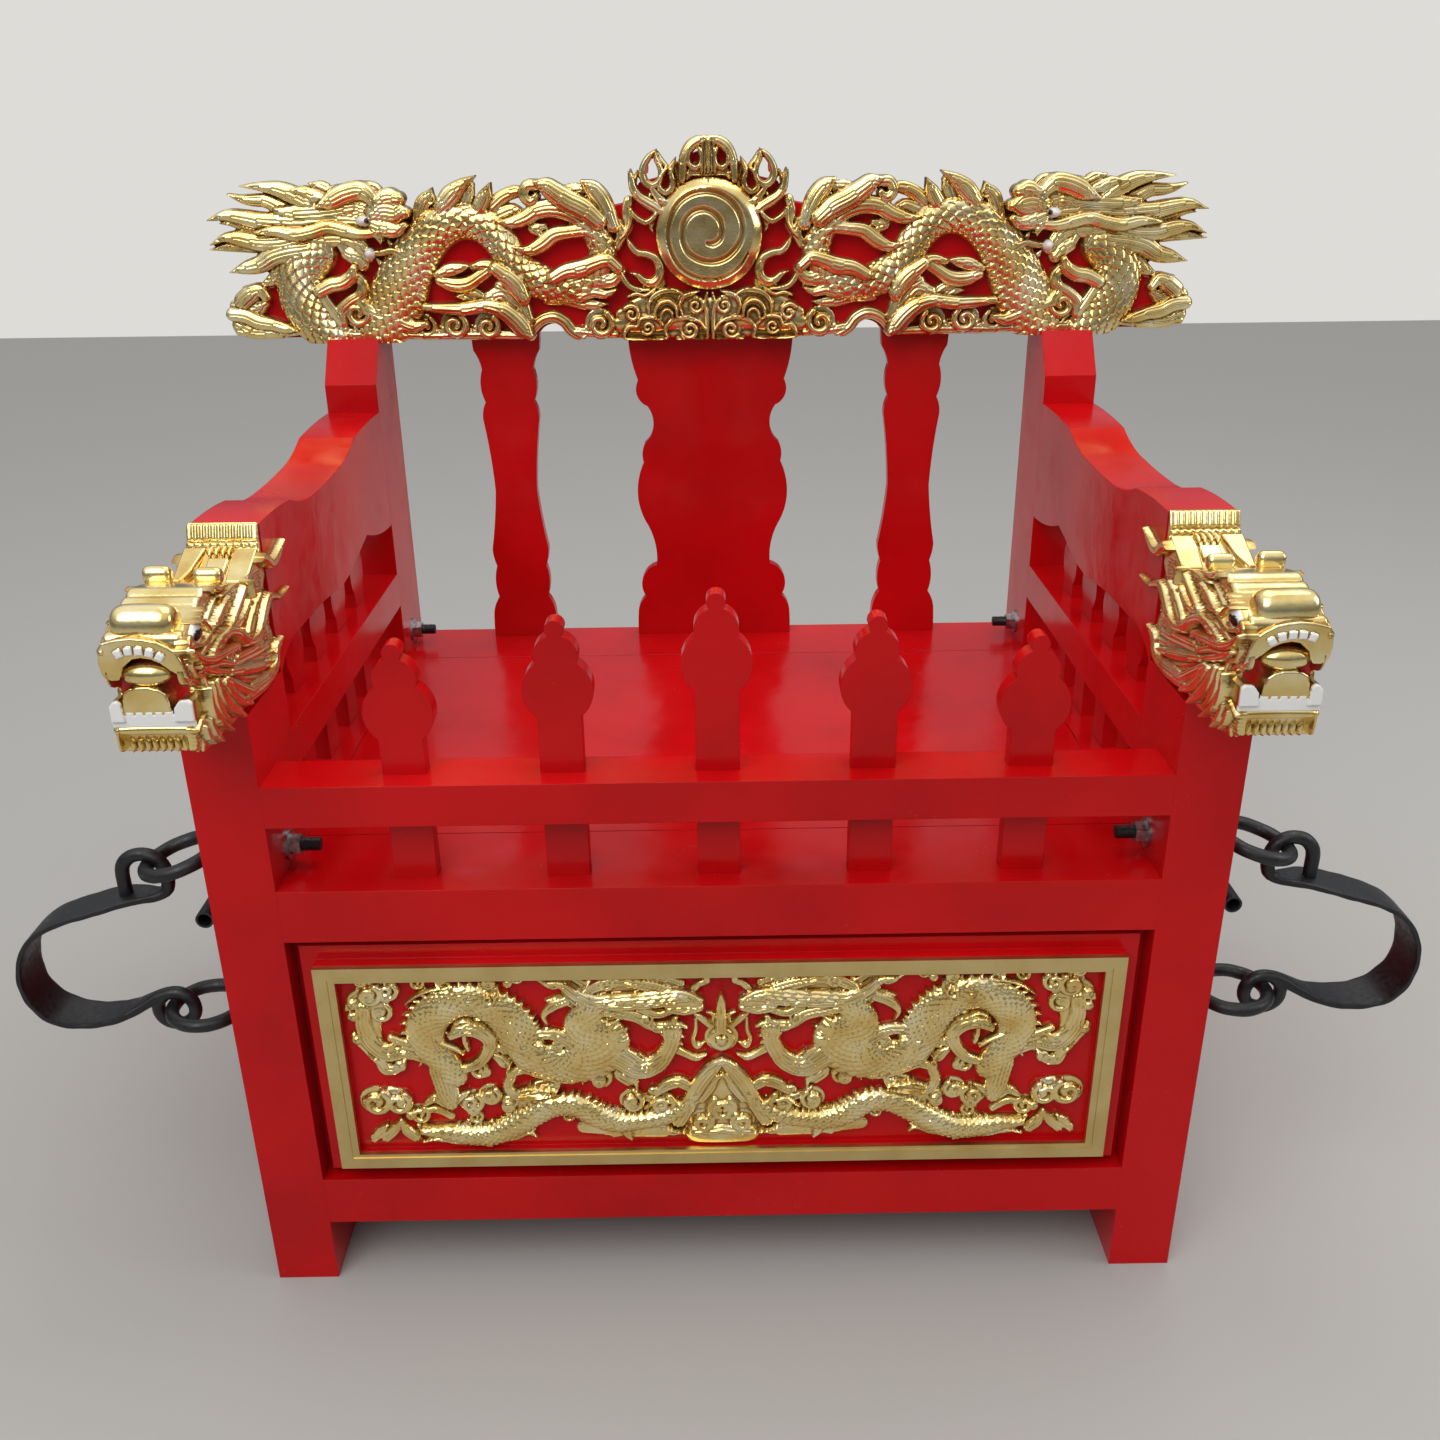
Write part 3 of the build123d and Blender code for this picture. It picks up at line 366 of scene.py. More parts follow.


# Carved relief. A carving is a height over its ground, worked out on a grid of (u, v) millimetres. Each
# strand of the carving raises the grid along its line, and the mesh keeps the part of the grid that lies
# inside the strands. All sizes are in millimetres. A line is sampled every sampleMm. A strand's rim has
# rimPart of its crown, less rimMm, and edgeR rounds a flat form. Of a fin, rootHalf and middleHalf are half
# widths in parts of the pitch. cavities are how far round a place looks for higher ground, and how deep
# below it the place takes full painted shade, which darkens the gold in hollows; the foot of a wall takes
# footCavity of the painted shade above it. A grid point outside the outline is pulled to it, over at most
# pullCells cells.
carving = {"sampleMm": 1.6, "leastHalf": 0.4, "rimPart": 0.15, "rimMm": 1.6, "edgeR": 1.5, "finLean": 0.7,
           "rootHalf": 0.42, "middleHalf": 0.33, "finGroove": (3.0, 0.5),
           "cavities": ((1.2, 1.1), (3.5, 4.0)), "footCavity": 0.3, "pullCells": 1.45, "sharpDegrees": 62}


def smoothLine(line, stepMm=carving["sampleMm"]):
    # Hermite curve through the places (u, v, half width), tangents from neighbouring places, sampled every
    # stepMm
    p = np.array(line, float)
    chord = np.concatenate([[0], np.cumsum(np.hypot(*np.diff(p[:, :2], axis=0).T))])
    if len(p) > 2:
        slope = np.gradient(p, chord, axis=0)
    else:
        slope = np.repeat(np.diff(p, axis=0) / chord[-1], 2, axis=0)
    s = np.linspace(0, chord[-1], max(4, int(chord[-1] / stepMm) + 1))
    i = np.clip(np.searchsorted(chord, s, side="right") - 1, 0, len(p) - 2)
    run = (chord[i + 1] - chord[i])[:, None]
    t = (s[:, None] - chord[i][:, None]) / run
    curve = ((2 * t ** 3 - 3 * t ** 2 + 1) * p[i] + (t ** 3 - 2 * t ** 2 + t) * run * slope[i]
             + (3 * t ** 2 - 2 * t ** 3) * p[i + 1] + (t ** 3 - t ** 2) * run * slope[i + 1])
    return curve


def newField(u0, u1, v0, v1, step):
    # an empty grid: height, rim height and edge (distance inside the outline, negative outside), paint masks
    u = np.arange(u0, u1 + step / 2, step)
    v = np.arange(v0, v1 + step / 2, step)
    shape = (len(u), len(v))
    return {"u": u, "v": v, "step": step, "height": np.full(shape, -1e3), "rim": np.zeros(shape),
            "edge": np.full(shape, -1e3), "red": np.zeros(shape), "white": np.zeros(shape)}


def window(field, u0, u1, v0, v1):
    # the part of the grid that a form can touch
    i0, i1 = np.searchsorted(field["u"], (u0, u1))
    j0, j1 = np.searchsorted(field["v"], (v0, v1))
    part = (slice(max(i0 - 1, 0), i1 + 1), slice(max(j0 - 1, 0), j1 + 1))
    u, v = np.meshgrid(field["u"][part[0]], field["v"][part[1]], indexing="ij")
    return part, u, v


def windowAround(field, places, pad):
    # the part of the grid that lies within pad of the places
    (u0, v0), (u1, v1) = places[:, :2].min(axis=0) - pad, places[:, :2].max(axis=0) + pad
    return window(field, u0, u1, v0, v1)


def layOn(field, part, edge, height, rim, finish):
    # keeps the higher of the field and the new form, and paints what the new form covers
    over = (edge > 0) & (height > field["height"][part])
    field["height"][part] = np.where(over, height, field["height"][part])
    for paint in ("red", "white"):
        field[paint][part] = np.where(over, 1.0 if finish in (paint, "dark") else 0.0, field[paint][part])
    nearer = edge > field["edge"][part]
    field["rim"][part] = np.where(nearer, rim, field["rim"][part])
    field["edge"][part] = np.maximum(edge, field["edge"][part])


def alongLine(curve, u, v):
    # by the nearest sample of the curve: the distance along it, the signed distance across it, the distance
    # away from it, the half width there, and the curve's whole length
    du = u[..., None] - curve[:, 0]
    dv = v[..., None] - curve[:, 1]
    near = np.argmin(du * du + dv * dv, axis=-1)
    way = np.gradient(curve[:, :2], axis=0)
    way /= np.maximum(np.hypot(way[:, 0], way[:, 1]), 1e-9)[:, None]
    offU = u - curve[near, 0]
    offV = v - curve[near, 1]
    ahead = offU * way[near, 0] + offV * way[near, 1]
    across = offV * way[near, 0] - offU * way[near, 1]
    run = np.concatenate([[0], np.cumsum(np.hypot(*np.diff(curve[:, :2], axis=0).T))])
    inner = (near > 0) & (near < len(curve) - 1)
    spacing = run[-1] / (len(curve) - 1)
    ahead = np.where(inner, np.clip(ahead, -spacing, spacing), ahead)
    pastEnd = np.where(near == len(curve) - 1, np.maximum(ahead, 0), 0)
    beyond = np.where(near == 0, np.maximum(-ahead, 0), pastEnd)
    s = run[near] + ahead
    half = np.maximum(np.interp(s, run, curve[:, 2]), carving["leastHalf"])
    return {"along": s, "across": across, "away": np.hypot(across, beyond), "half": half, "length": run[-1]}


def scalePattern(s, q, pitch):
    # overlapping scales: 0 at each scale's root rising to 1 at its free edge, rows staggered by half a scale
    row = s / (pitch * 0.62)
    height = np.zeros_like(s)
    covered = np.zeros(s.shape, bool)
    for k in (-1, 0):
        i = np.floor(row) + k
        a = (row - i) / 1.9
        c = np.mod(q / pitch + 0.5 * np.mod(i, 2), 1.0) - 0.5
        on = (a >= 0) & (a < 1) & (c * c * 3.4 + a * a < 1) & ~covered
        height = np.where(on, 0.25 + 0.75 * a - 0.9 * c * c, height)
        covered |= on
    return height


def strand(field, line, base, crown, grooveMm=0, groove=0, finish="gold", scaleMm=0, scale=0, belly=0):
    # base at its edges plus crown times the half circle sqrt(1 - w^2) across it, cut by long grooves 1 -
    # cos^2 or covered with scales; belly = 1 or -1 puts cross ribs on that side
    curve = smoothLine(line)
    part, u, v = windowAround(field, curve, curve[:, 2].max() + 4)
    near = alongLine(curve, u, v)
    s, across, r = near["along"], near["across"], near["half"]
    w = np.clip(near["away"] / r, 0, 1)
    low = carving["rimPart"]
    height = base + crown * (low + (1 - low) * np.sqrt(1 - w ** 2)) - carving["rimMm"] * w ** 6
    q = np.arcsin(np.clip(across / r, -1, 1)) * 2 / np.pi
    if scaleMm:
        cover = scalePattern(s, q * r * 1.35, scaleMm)
        rib = 1 - np.abs(np.mod(s / (scaleMm * 0.85), 1.0) * 2 - 1) ** 3
        onBelly = np.clip((q * belly - 0.42) * 8, 0, 1) if belly else 0.0
        height += scale * (cover * (1 - onBelly) + rib * onBelly)
    elif grooveMm:
        count = np.maximum(1, np.round(2 * r / grooveMm))
        ridge = np.abs(np.cos(np.pi * count * across / (2 * r) + np.where(count % 2 == 0, np.pi / 2, 0)))
        fade = np.clip(r / 3.2 - 0.25, 0, 1)
        height -= groove * fade * (1 - ridge ** 2)
    layOn(field, part, r - near["away"], height, base + low * crown - carving["rimMm"], finish)


def curl(field, u0, v0, radius, base, crown, turns=1.6, hand=1):
    # a rolled cloud: a dome with the spiral groove |sin(pi (turns rho - theta / 2 pi))| and a raised middle
    part, u, v = windowAround(field, np.array([(u0, v0)]), radius + 4)
    away = np.hypot(u - u0, v - v0)
    rho = away / radius
    theta = np.arctan2(v - v0, (u - u0) * hand)
    ridge = np.abs(np.sin(np.pi * (turns * rho - theta / (2 * np.pi)))) ** 0.6
    dome = 0.3 + 0.7 * np.sqrt(np.clip(1 - rho ** 2, 0, 1))
    groove = (1 - ridge) * min(2.4, radius * 0.14)
    height = base + crown * dome - groove + crown * 0.25 * (rho < 0.22)
    layOn(field, part, radius - away, height, base, "gold")


def fringe(field, line, side, pitch, length, base, crown, start, end):
    # fins: a small leaning strand at every pitch along one side of a line, from the parts start to end of
    # its length
    v = carving
    curve = smoothLine(line)
    run = np.concatenate([[0], np.cumsum(np.hypot(*np.diff(curve[:, :2], axis=0).T))])
    way = np.gradient(curve[:, :2], axis=0)
    way /= np.hypot(way[:, 0], way[:, 1])[:, None]
    for s in np.arange(start * run[-1], end * run[-1], pitch):
        k = int(np.searchsorted(run, s).clip(0, len(run) - 1))
        place, half = curve[k, :2], curve[k, 2]
        out = np.array((-way[k, 1], way[k, 0])) * side
        root = place + out * half * 0.8
        tip = place + out * (half + length) + way[k] * v["finLean"] * length
        middle = (root + tip) / 2 + out * length * 0.12
        fin = [(*root, pitch * v["rootHalf"]), (*middle, pitch * v["middleHalf"]), (*tip, 0.5)]
        strand(field, fin, base, crown, *v["finGroove"])


def bead(field, u0, v0, across, up, base, crown, finish, power=2.0):
    # a half ellipsoid standing on base, its outline |u|^power + |v|^power = 1
    part, u, v = window(field, u0 - across - 3, u0 + across + 3, v0 - up - 3, v0 + up + 3)
    rho = (np.abs((u - u0) / across) ** power + np.abs((v - v0) / up) ** power) ** (1 / power)
    height = base + crown * np.sqrt(np.clip(1 - rho ** 2, 0, 1))
    layOn(field, part, (1 - rho) * min(across, up), height, base, finish)


def scroll(field, u0, v0, radius, base, crown, start=0.5, hand=1, turns=1.25):
    # a band rolled up over a low dish: centre + radius (0.84 - 0.66 t) turned through start + turns t of a
    # circle, its half width radius (0.25 - 0.05 t)
    t = np.linspace(0, 1, 14)
    a = 2 * np.pi * (start + turns * t)
    away = radius * (0.84 - 0.66 * t)
    bead(field, u0, v0, radius, radius, base - 2.5, 1.0, "gold")
    band = zip(u0 + hand * away * np.cos(a), v0 + away * np.sin(a), radius * (0.25 - 0.05 * t))
    strand(field, list(band), base, crown)


def roundedOff(edge):
    # how far a flat form falls at its edge: a quarter circle, r - sqrt(r^2 - (r - edge)^2)
    r = carving["edgeR"]
    return r * (1 - np.sqrt(1 - np.clip(1 - edge / r, 0, 1) ** 2))


def block(field, u0, u1, v0, v1, base, crown, finish="gold"):
    # a flat bar with its edges rounded
    part, u, v = window(field, u0 - 3, u1 + 3, v0 - 3, v1 + 3)
    edge = np.minimum(np.minimum(u - u0, u1 - u), np.minimum(v - v0, v1 - v))
    layOn(field, part, edge, base + crown - roundedOff(edge), base, finish)


def plate(field, outline, base, crown, finish="gold"):
    # a flat plate: edge is the distance to the nearest side of the outline, inside where a ray crosses an
    # odd number
    corners = np.array(outline, float)
    part, u, v = windowAround(field, corners, 3)
    away = np.full(u.shape, 1e3)
    inside = np.zeros(u.shape, bool)
    for (u0, v0), (u1, v1) in zip(corners, np.roll(corners, -1, axis=0)):
        t = np.clip(((u - u0) * (u1 - u0) + (v - v0) * (v1 - v0)) / ((u1 - u0) ** 2 + (v1 - v0) ** 2), 0, 1)
        away = np.minimum(away, np.hypot(u - u0 - t * (u1 - u0), v - v0 - t * (v1 - v0)))
        inside ^= ((v0 > v) != (v1 > v)) & (u < u0 + (v - v0) * (u1 - u0) / (v1 - v0 if v1 != v0 else 1.0))
    edge = np.where(inside, away, -away)
    layOn(field, part, edge, base + crown - roundedOff(edge), base, finish)


def formsField(area, stepMm, lines=(), beads=(), bars=(), plates=(), groove=(0, 0)):
    # a grid with forms laid on it: lines are (base, crown, paint, places), and beads, bars and plates hold
    # what bead, block and plate take
    field = newField(*area, stepMm)
    for shape in plates:
        plate(field, *shape)
    for shape in bars:
        block(field, *shape)
    for shape in beads:
        bead(field, *shape)
    for base, crown, paint, line in lines:
        strand(field, line, base, crown, *groove, paint)
    return field


def mirrored(line, side):
    # the line itself for side 1, its mirror about the middle of the chair for side -1
    return [(side * u, *rest) for u, *rest in line]


def blurred(a, cells):
    # three box averages, one after the other
    for axis in (0, 1):
        for _ in range(3):
            edge = np.pad(a, [(cells + 1, cells) if k == axis else (0, 0) for k in (0, 1)], mode="edge")
            total = np.cumsum(edge, axis=axis)
            n = a.shape[axis]
            high = np.take(total, range(2 * cells + 1, 2 * cells + 1 + n), axis=axis)
            a = (high - np.take(total, range(0, n), axis=axis)) / (2 * cells + 1)
    return a


def backFaces(flat, border):
    # triangles between the loops of an outline: a triangle is kept when an odd number of outline edges lies
    # between it and the outside. Returns the faces, seen from behind, and any places added where the
    # outline crosses itself.
    points, edges, faces, fromPoint, fromEdge = delaunay_2d_cdt(
        [Vector(p) for p in flat.tolist()], border.tolist(), [], 0, 1e-6)[:5]
    crosses = {tuple(sorted(e)): len(source) % 2 for e, source in zip(edges, fromEdge)}
    sides = {}
    for f, corners in enumerate(faces):
        for a, b in zip(corners, corners[1:] + corners[:1]):
            sides.setdefault(tuple(sorted((a, b))), []).append(f)
    state = {}
    waiting = []
    for edge, owners in sides.items():
        if len(owners) == 1 and owners[0] not in state:
            state[owners[0]] = crosses.get(edge, 0)
            waiting.append(owners[0])
    while waiting:
        f = waiting.pop()
        corners = faces[f]
        for a, b in zip(corners, corners[1:] + corners[:1]):
            edge = tuple(sorted((a, b)))
            for other in sides[edge]:
                if other not in state:
                    state[other] = (state[f] + crosses.get(edge, 0)) % 2
                    waiting.append(other)
    added = [tuple(points[i]) for i, source in enumerate(fromPoint) if not source]
    number = iter(range(len(flat), len(flat) + len(added)))
    name = [source[0] if source else next(number) for source in fromPoint]
    kept = [[name[c] for c in reversed(corners)] for f, corners in enumerate(faces) if state.get(f)]
    kept = [f for f in kept if len(set(f)) == len(f)]
    return kept, np.array(added, float).reshape(-1, 2)


def finishPiece(name, mesh, replaced=(), body="chair", finish="gold_carved", sharp=50):
    # smooth shading but for edges sharper than sharp degrees, its finish, and its place in the frame
    mesh.polygons.foreach_set("use_smooth", np.ones(len(mesh.polygons), bool))
    mesh.set_sharp_from_angle(angle=math.radians(sharp))
    mesh.materials.append(finishes[finish])
    piece = bpy.data.objects.new(name, mesh)
    bpy.context.scene.collection.objects.link(piece)
    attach(piece, body)
    if replaced:
        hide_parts(*replaced)
    print(name, "made,", sum(len(p.vertices) - 2 for p in mesh.polygons), "triangles")


def reliefPiece(name, field, place, flip, back, replaced=()):
    # the kept cells of the grid as a front, a wall from its outline down to the height back, and a filled
    # back. place(u, v, height) gives the point; flip turns the faces when place mirrors the grid.
    step = field["step"]
    edge = field["edge"]
    height = np.where(field["height"] > -1e2, field["height"], field["rim"])
    relief = np.where(edge > 0, height, back)
    # painted shade in hollows: each place darkens by how far it lies below the relief blurred over each reach
    cavityShade = sum(np.clip((blurred(relief, max(1, int(reach / step))) - relief) / depth, 0, 1)
                 for reach, depth in carving["cavities"])
    slopeU, slopeV = np.gradient(np.clip(edge, -4, 4), step)
    steep = np.maximum(slopeU ** 2 + slopeV ** 2, 0.05)
    u, v = np.meshgrid(field["u"], field["v"], indexing="ij")
    pull = np.clip(np.where(edge < 0, -edge, 0), 0, carving["pullCells"] * step)
    u = u + pull * slopeU / steep
    v = v + pull * slopeV / steep
    inside = edge > 0
    keep = inside[:-1, :-1] | inside[1:, :-1] | inside[1:, 1:] | inside[:-1, 1:]
    number = np.arange(u.size).reshape(u.shape)
    corners = [number[:-1, :-1], number[1:, :-1], number[1:, 1:], number[:-1, 1:]]
    front = np.stack([c[keep] for c in corners], axis=1)
    around = np.pad(keep, 1)
    borders = []
    # the two corners of each side of a cell, and the cells beyond that side
    cellSides = (((0, 1), around[1:-1, :-2]), ((1, 2), around[2:, 1:-1]), ((2, 3), around[1:-1, 2:]),
                 ((3, 0), around[:-2, 1:-1]))
    for (a, b), beyond in cellSides:
        on = keep & ~beyond
        borders.append(np.stack([corners[a][on], corners[b][on]], axis=1))
    border = np.concatenate(borders)
    used, places = np.unique(front, return_inverse=True)
    front = places.reshape(front.shape)
    border = np.searchsorted(used, border)
    rimOnly, low = np.unique(border, return_inverse=True)
    low = low.reshape(border.shape) + len(used)
    top = place(u.ravel()[used], v.ravel()[used], height.ravel()[used])
    bottom = place(u.ravel()[used][rimOnly], v.ravel()[used][rimOnly], np.full(len(rimOnly), float(back)))
    wall = np.stack([border[:, 1], border[:, 0], low[:, 0], low[:, 1]], axis=1)
    faces = np.concatenate([front, wall]).tolist()
    flat = np.stack([u.ravel()[used][rimOnly], v.ravel()[used][rimOnly]], axis=1)
    closing, added = backFaces(flat, low - len(used))
    faces += [[corner + len(used) for corner in f] for f in closing]
    bottom = np.concatenate([bottom, place(added[:, 0], added[:, 1], np.full(len(added), float(back)))])
    if flip:
        faces = [f[::-1] for f in faces]
    mesh = bpy.data.meshes.new(name)
    mesh.from_pydata(np.concatenate([top, bottom]).tolist(), [], faces)
    count = len(mesh.vertices)
    # the painted shade of hollows and the red and white paint go to the points; a wall's foot takes
    # footCavity of the painted shade above it
    for key, values in (("cavityShade", np.clip(cavityShade, 0, 1)), ("red", field["red"]), ("white", field["white"])):
        data = np.zeros(count)
        data[:len(used)] = values.ravel()[used]
        foot = slice(len(used), len(used) + len(rimOnly))
        data[foot] = values.ravel()[used][rimOnly] * (carving["footCavity"] if key == "cavityShade" else 1)
        mesh.attributes.new(key, "FLOAT", "POINT").data.foreach_set("value", data.astype(np.float32))
    finishPiece(name, mesh, replaced, sharp=carving["sharpDegrees"])


sides = ((-1, "left"), (1, "right"))


def placeFront(side, y):
    # P(u, v, h) = (side u, y - h, v): a carving that faces the front and stands on the plane y
    return lambda u, v, h: toFrame(side * u, y - h, v)


# Crest. Levels are how high each kind of strand stands over the board, in millimetres: base and crown
crestLevels = {1: (6.5, 6.0), 2: (12.5, 7.5), 3: (18.5, 8.0)}
# Areas are the u and v that a grid covers, flameY and cloudY the depths at which the picks are read. A half
# width over thinMm is made widen times as wide and widenBy wider. Spans are parts of a line's length, and a
# groove is how far apart and how deep its furrows are
crest = {"gridMm": 1.12, "boardY": 668.0, "backMm": -1.0, "dragonArea": (88, 614, 878, 1078),
         "flameArea": (-112, 112, 936, 1112), "cloudArea": (-118, 118, 878, 946), "flameY": 652.0,
         "cloudY": 655.0, "bodyLevel": (4.5, 13.0), "scaleMm": 12.5, "scaleDepth": 3.8, "finMm": 12.0,
         "finLong": 9.0, "finLevel": (5.0, 5.0), "finSpan": (0.16, 0.42), "headLevel": (11.0, 8.0),
         "headGroove": (4.0, 1.2), "groove": (4.6, 1.15), "widen": 1.2, "widenBy": 1.0, "thinMm": 2.2,
         "curlCrown": 0.9, "curlStart": 0.35, "beadBase": 14.0, "massLevel": (11.0, 3.0),
         "barLevel": (3.0, 4.0), "scrollLevel": (14.5, 6.5), "sunZ": 1001.5, "sunReach": 66.0,
         "sunFlat": 24.0, "sunFlatR": 53.0, "sunR": 64.3, "sunBevel": 8.0, "sunGroove": 3.6,
         "sunGrooveHalf": 3.9}

# Lines of the carving. But for the Picks, a place is x, z and half width in millimetres on the right half;
# the left is its mirror. A number before a line is its level. A curl is x, z, radius and level, and a bead
# x, z, its two half widths, its crown and its paint
crestNeck = [
    (478, 985, 24), (498, 966, 29), (503, 938, 31), (492, 908, 30), (470, 884, 24),
]
crestTrunk = [
    (408, 892, 30), (390, 925, 36), (371, 962, 32), (350, 993, 28), (328, 1011, 25), (303, 1019, 22),
    (280, 1016, 21), (261, 1003, 21), (247, 984, 21), (234, 964, 21), (214, 950, 22), (190, 943, 20),
    (168, 940, 19), (149, 946, 19), (136, 961, 19), (131, 984, 18), (139, 1003, 16), (152, 1014, 12),
]
crestHead = [(484, 1018, 26), (450, 1026, 28), (425, 1030, 22), (404, 1030, 16)]
crestStrands = [
    (2, [(480, 1040, 5), (497, 1050, 8), (513, 1057, 7), (535, 1061, 4), (560, 1062, 1)]),
    (1, [(498, 1029, 7), (518, 1037, 7), (535, 1045, 6), (552, 1046, 5), (565, 1048, 3), (578, 1053, 1)]),
    (2, [(488, 1019, 8), (514, 1020, 9), (540, 1022, 8), (560, 1026, 7), (582, 1029, 5), (604, 1024, 1)]),
    (1, [(518, 1010, 6), (545, 1011, 6), (562, 1015, 5), (577, 1021, 4), (592, 1020, 1)]),
    (2, [(496, 1003, 8), (522, 998, 9), (548, 998, 8), (570, 1003, 7), (586, 1004, 4), (605, 996, 1)]),
    (1, [(516, 989, 7), (543, 992, 6), (565, 994, 6), (586, 993, 4), (609, 990, 1)]),
    (2, [(492, 990, 8), (515, 987, 9), (533, 982, 9), (549, 973, 8), (566, 969, 6), (586, 964, 1)]),
    (1, [(503, 974, 8), (524, 966, 9), (538, 954, 6), (556, 946, 1)]),
    (3, [(398, 1009, 4), (420, 1007, 5), (440, 1011, 6), (460, 1015, 6), (480, 1010, 6), (500, 1007, 6),
        (522, 1011, 5), (548, 1010, 2)]),
    (2, [(424, 1021, 6), (450, 1022, 8), (476, 1021, 9), (500, 1020, 8), (522, 1025, 4)]),
    (2, [(430, 1036, 7), (455, 1033, 9), (480, 1031, 9), (505, 1031, 7), (520, 1034, 3)]),
    (3, [(470, 1038, 2), (452, 1045, 8), (433, 1053, 9), (415, 1055, 8), (404, 1046, 6), (401, 1034, 3)]),
    (2, [(500, 1057, 1), (487, 1055, 5), (474, 1050, 6), (460, 1047, 3)]),
    (1, [(480, 1064, 1), (466, 1060, 5), (455, 1056, 4), (446, 1061, 2)]),
    (1, [(440, 1058, 4), (420, 1059, 5), (402, 1057, 5), (394, 1047, 5)]),
    (3, [(402, 1030, 9), (390, 1033, 13), (377, 1031, 12), (366, 1030, 5)]),
    (3, [(394, 1044, 7), (384, 1047, 9), (373, 1046, 6)]),
    (3, [(403, 1017, 7), (390, 1012, 8), (377, 1011, 6), (368, 1016, 3)]),
    (3, [(403, 1011, 6), (399, 1003, 4), (397, 995, 1)]),
    (2, [(478, 1000, 5), (464, 1002, 8), (449, 1002, 8), (437, 1001, 7), (426, 995, 8), (419, 986, 6),
        (415, 977, 3)]),
    (2, [(466, 996, 6), (462, 984, 4), (460, 973, 1)]), (2, [(447, 995, 5), (443, 986, 4), (441, 979, 1)]),
    (2, [(440, 984, 7), (431, 979, 8), (424, 971, 6)]),
    (2, [(412, 984, 2.5), (398, 985, 3), (386, 987, 3), (375, 982, 2.5), (369, 974, 1)]),
    (1, [(470, 992, 7), (484, 985, 8), (500, 978, 6), (512, 965, 2)]),
    (1, [(462, 983, 5), (476, 975, 6), (490, 967, 5), (500, 955, 1)]),
    (1, [(480, 1000, 6), (497, 997, 7), (512, 992, 5)]),
    (3, [(479, 941, 6), (464, 948, 7), (449, 951, 7), (438, 959, 6), (434, 968, 3)]),
    (2, [(438, 962, 5), (427, 950, 5), (430, 937, 6), (444, 928, 6), (456, 917, 6), (457, 903, 5)]),
    (2, [(432, 930, 5), (424, 918, 6), (411, 911, 6), (395, 909, 6), (383, 902, 6), (369, 897, 6),
        (354, 900, 3)]),
    (2, [(478, 938, 4), (468, 920, 5), (458, 905, 5)]),
    (2, [(592, 914, 6), (576, 912, 7), (561, 905, 7), (545, 902, 6), (529, 897, 5), (513, 894, 1)]),
    (1, [(586, 900, 8), (573, 893, 7), (556, 891, 6), (535, 889, 4)]),
    (2, [(577, 930, 8), (566, 938, 8), (554, 942, 6), (547, 934, 4)]),
    (1, [(587, 922, 7), (578, 922, 9), (562, 920, 8), (551, 926, 4)]),
    (1, [(575, 946, 1), (562, 945, 3), (550, 943, 2)]),
    (1, [(360, 1003, 5), (352, 1024, 6), (345, 1040, 7), (337, 1049, 5), (333, 1057, 1)]),
    (2, [(322, 1036, 7), (311, 1048, 9), (298, 1059, 6), (280, 1070, 1)]),
    (1, [(296, 1038, 7), (291, 1050, 7), (286, 1060, 3)]),
    (2, [(276, 1036, 7), (269, 1048, 6), (262, 1062, 1)]),
    (1, [(262, 1036, 7), (247, 1047, 6), (230, 1052, 5), (216, 1050, 1)]),
    (1, [(252, 1026, 7), (237, 1031, 6), (222, 1029, 1)]),
    (3, [(352, 921, 3), (330, 919, 5), (300, 918, 6), (276, 921, 6), (256, 915, 8), (241, 903, 9),
        (230, 890, 8), (224, 884, 4)]),
    (2, [(258, 944, 6), (242, 935, 8), (233, 920, 8), (227, 904, 6)]),
    (2, [(272, 930, 7), (256, 934, 9), (244, 922, 7)]),
    (3, [(262, 965, 6), (249, 955, 8), (238, 944, 9), (230, 930, 7)]),
    (2, [(335, 958, 3), (321, 963, 6), (306, 966, 5), (291, 969, 1)]),
    (2, [(331, 951, 5), (315, 946, 7), (298, 947, 7), (282, 956, 6), (268, 965, 6)]),
    (2, [(290, 967, 3), (276, 969, 5), (262, 966, 6)]), (1, [(316, 932, 1), (304, 931, 4), (293, 924, 5)]),
    (1, [(304, 938, 3), (291, 936, 5), (279, 927, 6)]),
    (3, [(192, 953, 6), (176, 961, 7), (156, 964, 8), (140, 970, 7), (124, 973, 6), (112, 964, 5)]),
    (2, [(170, 948, 7), (152, 952, 7), (134, 949, 8), (119, 950, 7), (109, 960, 5)]),
    (2, [(160, 931, 6), (144, 935, 5), (128, 933, 4), (114, 939, 1)]),
    (1, [(178, 927, 6), (160, 922, 6), (143, 920, 5), (126, 921, 1)]),
    (1, [(200, 930, 8), (180, 930, 8), (165, 934, 6)]),
    (2, [(148, 1015, 8), (165, 1027, 9), (186, 1033, 9), (206, 1031, 8), (223, 1022, 7), (241, 1017, 5),
        (258, 1019, 1)]),
    (2, [(150, 1008, 6), (170, 1006, 6), (188, 1003, 7), (204, 992, 7), (221, 985, 5), (240, 990, 1)]),
    (3, [(134, 1018, 8), (150, 1031, 10), (170, 1041, 10), (185, 1051, 9), (197, 1059, 7), (208, 1063, 2)]),
    (2, [(206, 1059, 5), (218, 1058, 5), (222, 1048, 5), (214, 1041, 5), (207, 1047, 3)]),
    (2, [(116, 1012, 6), (123, 1029, 8), (132, 1045, 9), (142, 1056, 7), (152, 1063, 2)]),
    (1, [(182, 1048, 5), (167, 1051, 7), (154, 1053, 6), (146, 1059, 3)]),
    (1, [(200, 1012, 3), (214, 1010, 5), (204, 1003, 3)]),
    (1, [(113, 988, 4), (107, 1002, 5), (112, 1015, 5)]),
    (1, [(97, 1040, 4), (100, 1026, 4), (97, 1012, 4), (106, 998, 4)]),
]
